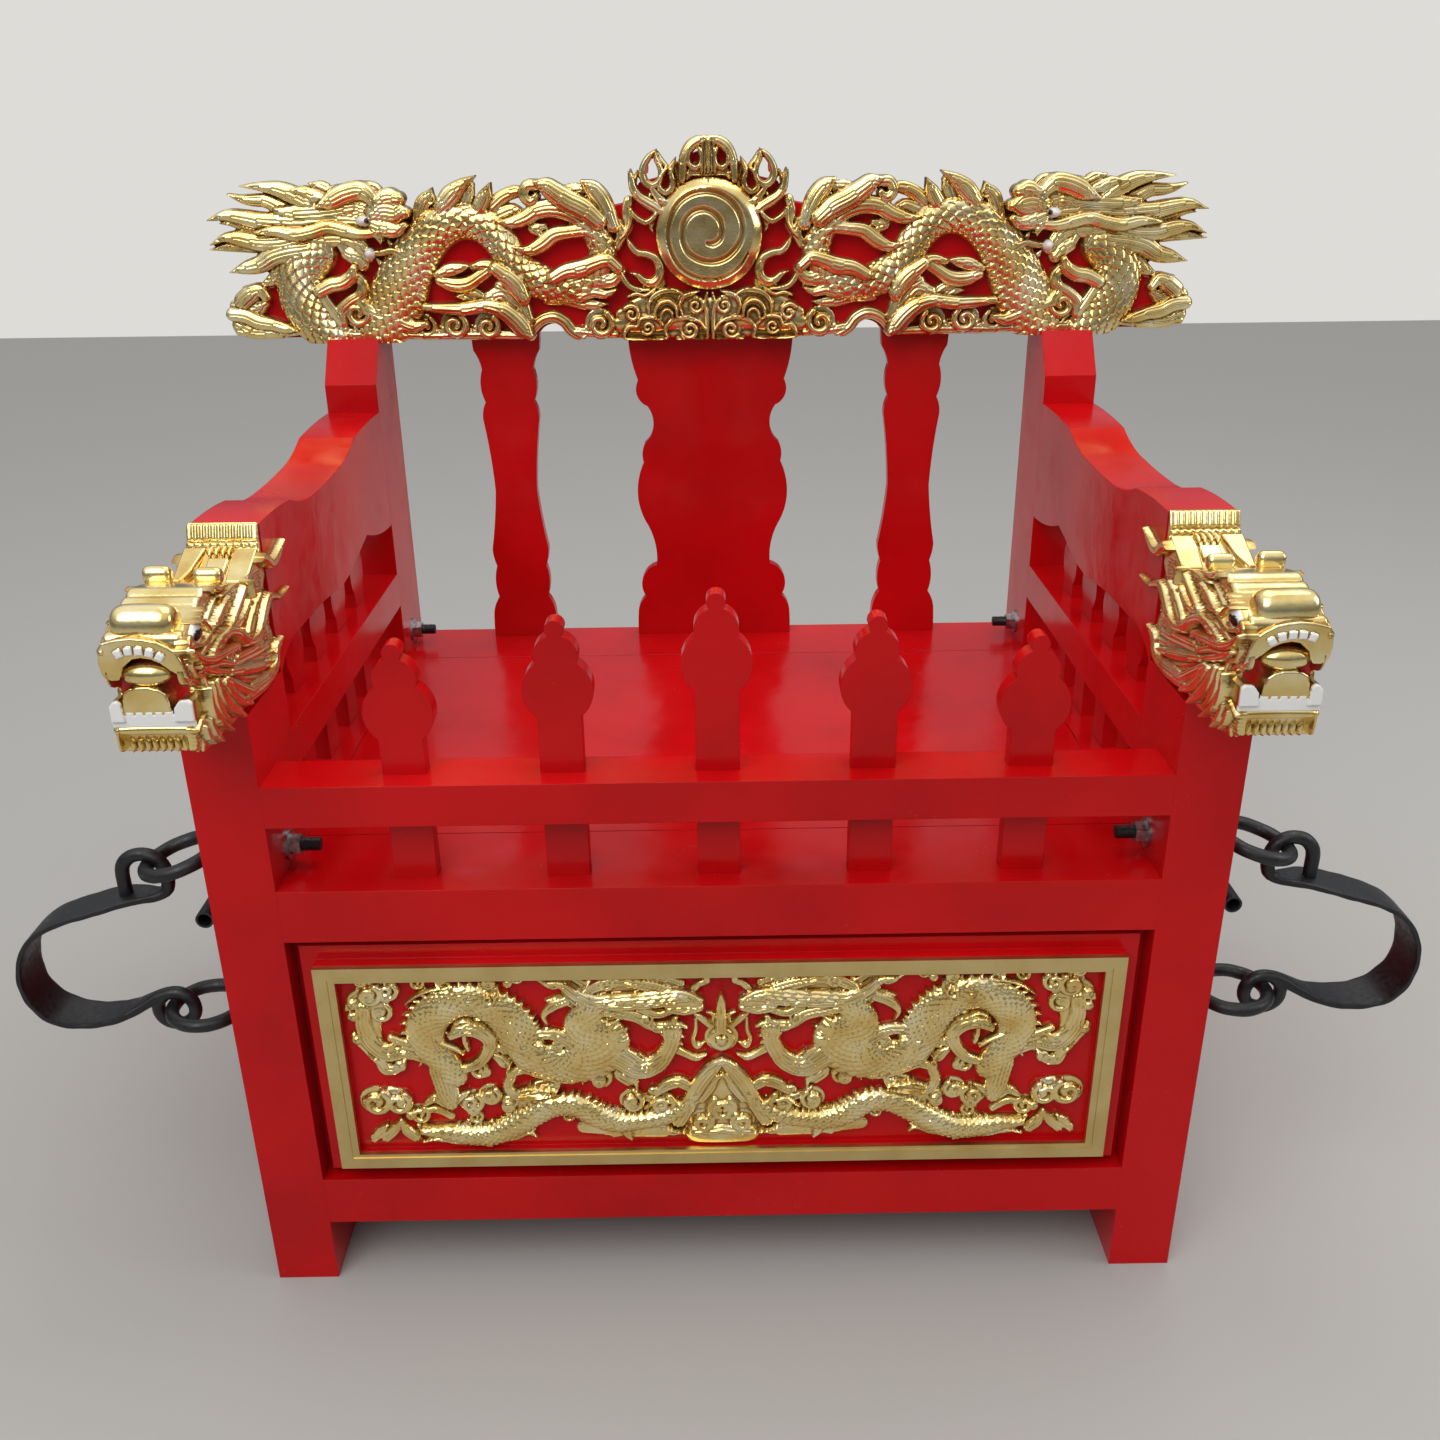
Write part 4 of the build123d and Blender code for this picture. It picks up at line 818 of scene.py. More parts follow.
crestEdges = [
    (1, [(226, 886, 6), (217, 898, 7), (205, 905, 7.5), (194, 906, 8), (182, 900, 8), (173, 889, 8),
        (166, 884, 8)]),
    (1, [(238, 884, 6), (300, 886, 7), (356, 885, 6)]), (1, [(360, 886, 6), (420, 888, 7), (470, 887, 6)]),
    (1, [(500, 893, 4), (540, 890, 5), (588, 893, 6)]), (1, [(166, 888, 7), (140, 885, 6), (119, 884, 6)]),
]
crestCurls = [
    (437, 914, 19, 2), (410, 895, 18, 2), (355, 896, 15, 1), (318, 898, 18, 2), (277, 896, 17, 2),
    (385, 893, 9, 1), (562, 929, 12, 1), (575, 904, 12, 1), (212, 1050, 9, 1), (137, 897, 19, 2),
    (160, 887, 9, 1), (336, 1044, 7, 1), (298, 890, 8, 1), (338, 889, 8, 1), (448, 890, 10, 1),
    (475, 890, 8, 1),
]
crestBeads = [
    (415, 1021.5, 11, 7, 13, "white"), (411, 1022, 4.2, 4.2, 16.5, "dark"), (413, 984, 6.5, 7, 12, "white"),
]
sunSpiral = [
    (-4, 991.5, 2.5), (4, 990.5, 3.9), (12, 995, 3.9), (15.5, 1004, 3.9), (14, 1015, 3.9), (6, 1025, 3.9),
    (-6, 1029.5, 3.9), (-20, 1026, 3.9), (-30, 1014, 3.9), (-32.5, 998, 3.9), (-27, 982, 3.9),
    (-12, 972, 3.9), (3, 969.5, 3.9), (20, 974, 3.9), (34, 987, 3.9), (40.5, 1003, 3.9), (38, 1021, 3.9),
    (28, 1037, 3.9), (12, 1047, 3.9), (-5, 1050, 3.9), (-22, 1046.5, 3.8), (-38, 1035, 3.6),
    (-47, 1018, 3.4), (-50, 1000, 3.2), (-46, 980, 3), (-37, 964.5, 2.8), (-21, 953.5, 2.6), (0, 949.5, 2.4),
    (20, 953, 2.2), (37, 964.5, 2), (48, 981, 1),
]
sunFlamePicks = [
    (2, [(640, 300, 16), (642, 235, 20), (655, 160, 24), (690, 100, 26), (740, 68, 22), (790, 58, 16)]),
    (1, [(668, 290, 10), (690, 245, 22), (715, 225, 26), (742, 240, 18)]),
    (2, [(685, 120, 10), (676, 165, 11), (684, 210, 13), (712, 228, 15), (738, 212, 12), (748, 165, 10),
        (738, 115, 9)]),
    (3, [(790, 246, 8), (788, 170, 9), (790, 64, 9)]), (2, [(772, 248, 8), (770, 170, 9), (774, 72, 8)]),
    (2, [(752, 252, 9), (752, 170, 9), (758, 80, 8)]), (1, [(720, 100, 10), (750, 90, 14), (790, 84, 14)]),
    (1, [(650, 262, 12), (720, 262, 14), (790, 262, 14)]),
    (2, [(492, 122, 3), (455, 160, 14), (425, 205, 16), (412, 262, 17), (430, 312, 18), (468, 332, 18),
        (505, 310, 16), (520, 262, 14), (508, 212, 13), (490, 170, 12), (490, 135, 4)]),
    (1, [(500, 135, 3), (520, 185, 12), (548, 225, 12), (560, 262, 10)]),
    (1, [(415, 185, 3), (428, 215, 12), (432, 250, 10)]),
    (2, [(602, 168, 3), (588, 205, 12), (575, 250, 13), (585, 300, 15), (578, 345, 16), (545, 368, 16),
        (515, 350, 14), (508, 310, 12), (525, 270, 11), (545, 235, 9)]),
    (1, [(608, 195, 3), (604, 235, 11), (612, 280, 10), (620, 330, 12)]),
    (2, [(470, 350, 14), (500, 390, 20), (530, 420, 22), (560, 430, 16)]),
    (1, [(555, 380, 16), (580, 400, 16), (600, 350, 14)]),
    (2, [(342, 238, 4), (350, 290, 15), (362, 345, 20), (392, 392, 24), (440, 425, 27), (490, 455, 26),
        (520, 480, 20)]),
    (1, [(330, 250, 3), (342, 310, 10), (345, 350, 8)]), (1, [(380, 245, 3), (372, 290, 10), (368, 320, 8)]),
    (1, [(440, 400, 10), (470, 375, 14), (500, 365, 14)]),
    (2, [(345, 452, 4), (360, 492, 13), (395, 525, 15), (435, 540, 15), (468, 520, 14), (490, 490, 12)]),
    (1, [(480, 605, 3), (462, 570, 12), (470, 540, 14), (490, 510, 12)]),
    (2, [(335, 455, 4), (345, 500, 11), (342, 550, 12), (318, 600, 12), (280, 640, 8)]),
    (2, [(325, 622, 4), (345, 670, 15), (380, 710, 18), (440, 722, 19), (488, 748, 21), (512, 800, 23),
        (505, 855, 25), (470, 885, 25), (425, 875, 20), (385, 842, 14), (345, 826, 4)]),
    (1, [(520, 850, 14), (530, 890, 16), (500, 920, 14)]),
    (2, [(290, 810, 6), (305, 860, 16), (340, 905, 16), (395, 925, 14), (450, 925, 10)]),
]
cloudPicks = [
    (2, [(784, 940, 8), (772, 990, 10), (780, 1060, 12), (786, 1130, 12), (786, 1200, 10)]),
    (2, [(645, 1070, 8), (628, 1010, 12), (650, 965, 14), (690, 945, 14), (738, 930, 6)]),
    (2, [(455, 1075, 8), (450, 1010, 12), (478, 960, 14), (530, 932, 16), (590, 928, 15), (640, 945, 10),
        (660, 968, 6)]),
    (3, [(490, 1085, 7), (492, 1030, 10), (525, 990, 12), (570, 985, 12), (605, 1020, 10), (612, 1075, 7)]),
    (3, [(518, 1090, 6), (528, 1048, 9), (555, 1030, 10), (582, 1048, 9), (588, 1080, 6)]),
    (2, [(330, 960, 8), (380, 945, 12), (430, 955, 12), (470, 930, 12), (495, 905, 5)]),
    (2, [(560, 1200, 7), (545, 1150, 12), (570, 1105, 13), (620, 1085, 14), (680, 1085, 14), (740, 1105, 12),
        (775, 1150, 9)]),
    (2, [(310, 1200, 8), (318, 1160, 13), (350, 1130, 13), (385, 1130, 10), (400, 1095, 12), (450, 1078, 13),
        (500, 1090, 12), (530, 1120, 9)]),
    (2, [(620, 1205, 12), (690, 1212, 12), (760, 1205, 10)]),
    (2, [(330, 1205, 12), (400, 1208, 12), (500, 1208, 12), (550, 1200, 8)]),
]
cloudMasses = [
    [(112, 896, 10), (88, 900, 15), (50, 906, 18), (20, 908, 20), (0, 908, 20)],
    [(110, 908, 8), (92, 916, 12), (66, 922, 14), (30, 922, 14)],
]
cloudBar = [(4, 884, 7), (60, 885, 8), (116, 884, 6)]
# the place and radius of each scroll, then the part of a turn at which it starts and the way it turns
scrollPicks = [
    ((718, 1014, 50), (0.35, 1)), ((352, 1062, 56), (0.1, 1)), ((684, 1150, 56), (0.6, -1)),
    ((446, 1140, 44), (0.6, -1)),
]
sunFlames = [(level, fromPhoto("sun", line, 1, crest["flameY"])) for level, line in sunFlamePicks]
cloudStrands = [(level, fromPhoto("sun", line, 1, crest["cloudY"])) for level, line in cloudPicks]
cloudScrolls = [fromPhoto("scrolls", [place], 1, crest["flameY"])[0] + turn for place, turn in scrollPicks]


def crestStroke(field, level, line):
    strand(field, line, *crestLevels[level], *crest["groove"])


def crestDragonField(v):
    field = newField(*v["dragonArea"], v["gridMm"])
    for line, belly in ((crestNeck, -1), (crestTrunk, 1)):
        strand(field, line, *v["bodyLevel"], scaleMm=v["scaleMm"], scale=v["scaleDepth"], belly=belly)
    fringe(field, crestTrunk, -1, v["finMm"], v["finLong"], *v["finLevel"], *v["finSpan"])
    strand(field, crestHead, *v["headLevel"], *v["headGroove"])
    for level, line in crestStrands:
        wider = [(u, z, r * v["widen"] + v["widenBy"] if r > v["thinMm"] else r) for u, z, r in line]
        crestStroke(field, level, wider)
    for level, line in crestEdges:
        crestStroke(field, level, line)
    for u, z, r, level in crestCurls:
        base, crown = crestLevels[level]
        scroll(field, u, z, r, base, crown * v["curlCrown"], v["curlStart"])
    for u, z, across, up, high, paint in crestBeads:
        bead(field, u, z, across, up, v["beadBase"], high, paint)
    return field


def sunField(v):
    # flat face, bevelled rim, and the spiral groove sunk depth * (1 - (d / half width)^2)
    reach = v["sunReach"]
    field = newField(-reach, reach, v["sunZ"] - reach, v["sunZ"] + reach, v["gridMm"])
    part, u, z = window(field, -reach, reach, v["sunZ"] - reach, v["sunZ"] + reach)
    rho = np.hypot(u, z - v["sunZ"])
    t = np.clip((rho - v["sunFlatR"]) / (v["sunR"] - v["sunFlatR"]), 0, 1)
    near = alongLine(smoothLine(sunSpiral), u, z)
    half = np.minimum(v["sunGrooveHalf"], near["half"])
    onSpiral = (near["along"] > 0) & (near["along"] < near["length"] - 1)
    sunk = v["sunGroove"] * np.clip(1 - (near["across"] / half) ** 2, 0, 1) * onSpiral
    rim = v["sunFlat"] - v["sunBevel"]
    layOn(field, part, v["sunR"] - rho, v["sunFlat"] - v["sunBevel"] * t ** 1.3 - sunk, rim, "gold")
    return field


def sunFlameField(v):
    field = newField(*v["flameArea"], v["gridMm"])
    for side in (1, -1):
        for level, line in sunFlames:
            crestStroke(field, level, mirrored(line, side))
    return field


def cloudField(v):
    field = newField(*v["cloudArea"], v["gridMm"])
    for side in (1, -1):
        for line in cloudMasses:
            strand(field, mirrored(line, side), *v["massLevel"])
        strand(field, mirrored(cloudBar, side), *v["barLevel"])
        for level, line in cloudStrands:
            crestStroke(field, level, mirrored(line, side))
        for u, z, r, start, hand in cloudScrolls:
            scroll(field, side * u, z, r, *v["scrollLevel"], start, side * hand)
    return field


dragonField = crestDragonField(crest)
for side, word in sides:
    reliefPiece("crestDragon." + word, dragonField, placeFront(side, crest["boardY"]), side < 0,
                crest["backMm"], ("crest_dragon_" + word,))
for name, field, replaced in (("sunDisc", sunField(crest), "sun_disc"),
                              ("sunFlames", sunFlameField(crest), "sun_flames"),
                              ("crestClouds", cloudField(crest), "crest_clouds")):
    reliefPiece(name, field, placeFront(1, crest["boardY"]), False, crest["backMm"], (replaced,))
print("crest carved")


# Front panel: the same pair of dragons in lower relief, a mountain between them and the pearl over it
panelLevels = {1: (2.2, 3.6), 2: (5.0, 4.4), 3: (7.6, 5.0), 4: (11.0, 4.4)}
# pickY is the depth at which the picks are read. Curls of rolledMm and more are rolled bands, smaller ones
# domes. A rib's crown stands on the body at ribRise of the body's crown
panel = {"gridMm": 1.1, "area": (0, 372, 176, 381), "fieldY": 2.0, "backMm": -0.6, "pickY": -6.0,
         "bodyLevel": (2.2, 9.5), "scaleMm": 6.6, "scaleDepth": 2.5, "massLevel": (2.0, 3.0),
         "groove": (4.2, 1.5), "rolledMm": 8.0, "rollStart": 0.35, "ribMm": 4.4, "ribRise": 0.62,
         "ribCrown": 3.2, "pearlR": 16.5, "pearlZ": 306.0, "pearlLevel": (6.5, 2.2), "pearlTurns": 1.6}
panelBody = [
    (128, 342, 15), (132, 325, 22), (122, 303, 33), (134, 283, 28), (160, 277, 20), (186, 287, 20),
    (198, 310, 21), (208, 333, 21), (228, 350, 19), (252, 354, 19), (276, 341, 20), (288, 319, 20),
    (284, 298, 18), (272, 281, 16), (264, 266, 14),
]
panelTail = [
    (300, 200, 5), (280, 197, 9), (258, 192, 11), (235, 191, 12), (212, 200, 13), (190, 214, 13),
    (168, 226, 13), (146, 226, 13), (127, 213, 13), (108, 205, 12), (86, 206, 10), (62, 210, 9),
    (40, 222, 8), (26, 240, 6),
]
panelMasses = [
    [(0, 196, 40), (0, 225, 34), (0, 250, 22), (0, 268, 12)], [(60, 192, 12), (100, 192, 10), (140, 196, 8)],
    [(330, 236, 14), (345, 234, 14)], [(338, 350, 16), (344, 325, 14), (340, 305, 10)],
    [(200, 232, 14), (178, 236, 10)], [(60, 362, 10), (100, 364, 12), (130, 362, 12)],
]
panelStrands = [
    (3, [(20, 352, 4), (38, 356, 9), (58, 354, 10), (80, 352, 10), (101, 351, 10), (121, 351, 9),
        (140, 361, 7), (152, 372, 5), (166, 377, 1)]),
    (3, [(22, 345, 6), (34, 343, 8), (48, 344, 7)]),
    (2, [(44, 331, 3), (52, 322, 5), (66, 321, 6), (82, 332, 7), (102, 337, 7), (122, 341, 7)]),
    (2, [(50, 338, 4), (62, 335, 5), (78, 342, 5)]),
    (2, [(52, 363, 6), (70, 368, 7), (90, 372, 6), (112, 371, 7), (130, 362, 5)]),
    (1, [(40, 368, 6), (54, 374, 5), (72, 377, 3)]),
    (1, [(26, 362, 4), (20, 368, 4), (13, 372, 4), (17, 379, 2)]),
    (1, [(130, 368, 5), (148, 378, 4), (160, 368, 5), (178, 377, 1)]),
    (1, [(140, 345, 6), (152, 352, 6), (170, 352, 1)]),
    (2, [(150, 352, 6), (163, 346, 6), (172, 334, 3), (168, 325, 1)]),
    (3, [(98, 284, 14), (80, 272, 13), (65, 277, 11), (54, 290, 9), (49, 303, 9), (48, 315, 10)]),
    (2, [(48, 296, 6), (36, 288, 4), (24, 283, 4), (15, 288, 1)]),
    (2, [(50, 318, 5), (42, 323, 4), (33, 320, 1)]), (2, [(55, 312, 5), (46, 305, 5), (38, 300, 1)]),
    (1, [(92, 255, 9), (100, 262, 8), (92, 270, 6)]), (2, [(95, 262, 6), (86, 255, 4), (84, 245, 1)]),
    (2, [(346, 345, 8), (347, 325, 9), (342, 307, 10), (328, 294, 11), (310, 297, 10), (293, 290, 9),
        (276, 280, 8), (262, 272, 5)]),
    (2, [(322, 312, 4), (308, 305, 5), (294, 298, 5), (280, 289, 4), (262, 281, 2)]),
    (2, [(336, 285, 6), (330, 274, 7), (319, 276, 6), (312, 283, 3)]),
    (1, [(360, 345, 5), (354, 358, 6), (342, 364, 6)]),
    (1, [(357, 312, 6), (350, 300, 5), (341, 287, 4), (334, 280, 1)]),
    (3, [(263, 315, 4), (250, 322, 8), (236, 320, 9), (226, 309, 8), (229, 295, 7), (240, 281, 6),
        (252, 276, 5)]),
    (1, [(262, 330, 4), (250, 335, 5), (236, 333, 5), (224, 328, 1)]),
    (2, [(222, 296, 4), (210, 300, 4), (200, 308, 5), (185, 312, 6), (165, 313, 7), (148, 303, 8),
        (136, 292, 6)]),
    (1, [(222, 285, 4), (214, 276, 5), (206, 284, 4)]),
    (2, [(206, 268, 5), (195, 272, 6), (180, 268, 8), (162, 263, 9), (145, 262, 8), (134, 272, 5)]),
    (2, [(208, 265, 6), (212, 250, 6), (205, 240, 6), (192, 240, 6), (178, 243, 7), (166, 250, 6),
        (160, 258, 2)]),
    (1, [(196, 225, 6), (204, 236, 6), (192, 248, 5), (176, 254, 5)]),
    (3, [(277, 272, 12), (274, 256, 12), (272, 242, 11), (270, 232, 7)]),
    (2, [(296, 232, 3), (285, 238, 6), (272, 232, 7), (262, 238, 5), (252, 246, 2)]),
    (1, [(300, 222, 4), (286, 222, 5), (272, 213, 4)]),
    (3, [(44, 207, 8), (34, 225, 8), (26, 245, 8), (14, 265, 8), (4, 277, 6), (0, 281, 4)]),
    (2, [(66, 240, 4), (54, 250, 7), (42, 253, 7), (32, 248, 6), (20, 257, 3)]),
    (2, [(22, 232, 6), (12, 246, 6), (4, 260, 4), (0, 262, 3)]),
    (2, [(30, 192, 6), (16, 193, 6), (0, 194, 6)]),
    (1, [(110, 186, 3), (96, 192, 6), (80, 190, 6), (66, 193, 6), (50, 190, 6), (36, 192, 5)]),
    (1, [(38, 228, 4), (52, 228, 5), (74, 232, 5), (88, 242, 3)]),
    (2, [(100, 200, 4), (96, 190, 5), (92, 184, 2)]), (1, [(140, 204, 3), (132, 194, 5), (120, 190, 2)]),
    (2, [(352, 188, 4), (345, 197, 6), (337, 206, 2)]), (2, [(340, 190, 6), (330, 200, 6), (322, 213, 2)]),
    (2, [(310, 190, 6), (318, 198, 6), (322, 212, 2)]), (1, [(306, 203, 3), (300, 196, 5), (292, 190, 3)]),
    (1, [(296, 186, 3), (270, 183, 4), (245, 182, 4), (225, 184, 4), (205, 190, 4), (190, 196, 2)]),
]
panelCurls = [
    (338, 362, 14, 2), (320, 366, 12, 2), (352, 352, 10, 1), (330, 340, 13, 1), (345, 234, 17, 2),
    (323, 233, 15, 2), (304, 216, 12, 1), (318, 376, 8, 1), (345, 376, 7, 1), (292, 374, 9, 1),
    (268, 374, 7, 1), (224, 361, 12, 2), (226, 345, 8, 1), (250, 232, 14, 2), (231, 240, 12, 2),
    (213, 232, 11, 1), (240, 272, 11, 2), (182, 302, 10, 2), (166, 289, 9, 1), (207, 295, 8, 1),
    (60, 226, 15, 2), (90, 230, 13, 2), (20, 206, 13, 3), (0, 220, 16, 2), (110, 372, 9, 2),
    (196, 378, 8, 1), (73, 330, 8, 2), (120, 257, 12, 1), (155, 212, 8, 1), (176, 290, 9, 1),
    (248, 212, 9, 1), (205, 215, 9, 1),
]
panelLeftPicks = [
    (3, [(870, 335, 12), (930, 312, 15), (990, 330, 12)]),
    (3, [(850, 372, 10), (900, 352, 13), (960, 362, 10)]),
    (3, [(856, 412, 9), (900, 397, 12), (940, 402, 9)]),
    (3, [(1010, 300, 9), (1080, 297, 13), (1140, 322, 7)]),
    (3, [(1000, 335, 9), (1055, 345, 13), (1095, 372, 8)]),
    (2, [(1085, 505, 22), (1065, 445, 30), (1000, 410, 32), (940, 405, 26)]),
    (2, [(960, 525, 20), (938, 465, 26), (930, 415, 22)]),
    (2, [(1100, 500, 12), (1180, 498, 16), (1260, 500, 14), (1335, 468, 8)]),
    (2, [(1150, 560, 14), (1200, 580, 17), (1240, 630, 16), (1225, 690, 8)]),
    (3, [(705, 450, 8), (780, 472, 18), (860, 502, 20), (930, 540, 10)]),
    (2, [(650, 1162, 9), (760, 1142, 15), (860, 1165, 17), (1000, 1172, 17), (1130, 1188, 12)]),
    (2, [(1150, 1165, 10), (1290, 1140, 16), (1400, 1105, 18), (1440, 1125, 8)]),
    (1, [(720, 1118, 9), (860, 1130, 13), (1000, 1148, 13), (1120, 1160, 9)]),
    (2, [(520, 205, 7), (600, 150, 13), (700, 110, 15), (820, 92, 13), (900, 72, 9)]),
    (2, [(300, 470, 22), (350, 510, 30), (430, 500, 26), (470, 470, 12)]),
    (1, [(350, 620, 10), (420, 600, 20), (520, 590, 24), (600, 600, 20)]),
    (2, [(270, 560, 7), (300, 590, 10), (340, 620, 10), (400, 670, 13), (460, 690, 6)]),
    (3, [(1310, 800, 8), (1390, 780, 12), (1470, 790, 13), (1580, 800, 8)]),
    (3, [(1320, 850, 8), (1400, 850, 12), (1500, 840, 13), (1570, 820, 8)]),
]
panelLeftCurlPicks = [
    (1105, 152, 58, 4), (968, 190, 46, 4), (1080, 240, 28, 3), (1100, 66, 50, 2), (1232, 66, 34, 2),
    (255, 158, 56, 2), (385, 168, 42, 2), (152, 215, 40, 2), (150, 300, 36, 2), (1000, 942, 56, 2),
    (1128, 872, 50, 2), (1240, 925, 52, 2), (252, 892, 34, 2), (322, 872, 34, 2), (500, 890, 58, 2),
    (562, 985, 38, 2), (1212, 532, 34, 2), (1345, 502, 34, 4), (1458, 490, 38, 4), (488, 642, 44, 2),
    (182, 462, 34, 2), (1082, 682, 42, 2), (300, 1130, 22, 2),
]
panelMiddlePicks = [
    (2, [(620, 612, 8), (652, 645, 16), (702, 690, 20), (765, 690, 8)]),
    (1, [(640, 1182, 9), (760, 1152, 15), (880, 1172, 15), (1000, 1182, 13), (1080, 1200, 9)]),
    (2, [(680, 1092, 10), (800, 1102, 18), (900, 1062, 17), (1000, 1002, 10)]),
    (2, [(660, 1002, 10), (760, 952, 15), (860, 962, 17), (960, 962, 15), (1010, 932, 8)]),
    (1, [(780, 852, 10), (880, 852, 17), (960, 872, 15), (1040, 832, 9)]),
    (3, [(450, 260, 8), (520, 240, 14), (620, 262, 16), (740, 282, 8)]),
    (3, [(100, 105, 6), (180, 170, 14), (280, 235, 16), (400, 290, 9)]),
    (2, [(80, 190, 6), (160, 262, 15), (260, 320, 17), (400, 352, 16), (520, 352, 8)]),
    (3, [(880, 210, 10), (940, 220, 14), (1000, 238, 10), (1048, 262, 5)]),
    (2, [(600, 380, 7), (680, 430, 14), (760, 468, 14), (830, 440, 10), (845, 380, 7)]),
    (2, [(800, 470, 8), (850, 450, 14), (900, 430, 8), (950, 440, 4)]),
    (2, [(820, 520, 12), (880, 500, 12), (940, 500, 4)]),
    (3, [(820, 1130, 8), (900, 1150, 9), (980, 1160, 8)]),
]
panelMiddleCurlPicks = [
    (50, 575, 46, 2), (198, 602, 36, 2), (342, 822, 52, 2), (570, 972, 42, 2), (715, 882, 36, 2),
    (790, 1002, 44, 2), (1062, 1092, 58, 3),
]
pearlFlames = [
    (2, [(0, 318, 7), (0, 334, 5), (1, 347, 4), (0, 360, 1)]),
    (1, [(10, 318, 4), (18, 326, 4), (26, 334, 2), (28, 338, 1)]),
    (1, [(25, 327, 2), (25, 314, 3), (28, 302, 3), (24, 295, 4), (18, 299, 2)]),
    (1, [(14, 336, 1), (8, 332, 3), (6, 324, 4)]),
]
for piece, lines, curls in (("panelLeft", panelLeftPicks, panelLeftCurlPicks),
                            ("panelMiddle", panelMiddlePicks, panelMiddleCurlPicks)):
    panelStrands += [(level, fromPhoto(piece, line, 1, panel["pickY"])) for level, line in lines]
    panelCurls += [fromPhoto(piece, [place[:3]], 1, panel["pickY"])[0] + place[3:] for place in curls]
# line, side, pitch, length, base and crown of each row of fins, and the parts of the line where it starts
# and ends
panelFins = [(panelBody, 1, 6.5, 5.5, 2.4, 5.0, 0.4, 0.92), (panelBody, -1, 6.5, 4.0, 2.4, 4.0, 0.05, 0.26),
             (panelTail, -1, 6.0, 4.5, 2.4, 4.0, 0.1, 0.85)]
# each row of ribs, and how many half widths off the line's middle it runs
panelRibs = [(panelBody[5:], 0.62), (panelTail, -0.55), (panelBody[:5], -0.6)]


def bothWays(line):
    # a line near the middle also needs its mirror
    return [line, mirrored(line, -1)] if min(u - r for u, z, r in line) < 1 else [line]


def ribRow(field, line, shift, v):
    # a raised band along the body, at shift half widths off its middle line, notched |cos(pi s / ribMm)|
    # across
    curve = smoothLine(line)
    way = np.gradient(curve[:, :2], axis=0)
    way /= np.hypot(way[:, 0], way[:, 1])[:, None]
    row = curve.copy()
    row[:, 0] -= way[:, 1] * curve[:, 2] * shift
    row[:, 1] += way[:, 0] * curve[:, 2] * shift
    row[:, 2] = curve[:, 2] * 0.2
    part, u, z = windowAround(field, row, 6)
    near = alongLine(row, u, z)
    notch = np.abs(np.cos(np.pi * near["along"] / v["ribMm"])) ** 0.5
    base = v["bodyLevel"][0] + v["bodyLevel"][1] * v["ribRise"]
    height = base + v["ribCrown"] * np.sqrt(np.clip(1 - (near["away"] / near["half"]) ** 2, 0, 1)) * notch
    layOn(field, part, near["half"] - near["away"], height, base - 2.0, "gold")


def panelField(v):
    field = newField(*v["area"], v["gridMm"])
    for line, belly in ((panelBody[:6], -1), (panelBody[5:], 0), (panelTail, 1)):
        strand(field, line, *v["bodyLevel"], scaleMm=v["scaleMm"], scale=v["scaleDepth"], belly=belly)
    for fins in panelFins:
        fringe(field, *fins)
    for line, shift in panelRibs:
        ribRow(field, line, shift, v)
    for line in panelMasses:
        for twin in bothWays(line):
            strand(field, twin, *v["massLevel"])
    for level, line in panelStrands + pearlFlames:
        for twin in bothWays(line):
            strand(field, twin, *panelLevels[level], *v["groove"])
    for u, z, r, level in panelCurls:
        # a curl near the middle also needs its mirror
        for hand in (1, -1) if u - r < 1 else (1,):
            if r < v["rolledMm"]:
                curl(field, hand * u, z, r, *panelLevels[level], 1.1 + r / 16, hand)
            else:
                scroll(field, hand * u, z, r, *panelLevels[level], v["rollStart"], hand)
    scroll(field, 0, v["pearlZ"], v["pearlR"], *v["pearlLevel"], v["rollStart"], 1, v["pearlTurns"])
    return field


panelHalf = panelField(panel)
for side, word in sides:
    reliefPiece("panelDragon." + word, panelHalf, placeFront(side, panel["fieldY"]), side < 0,
                panel["backMm"], ("panel_carving",))
print("front panel carved")
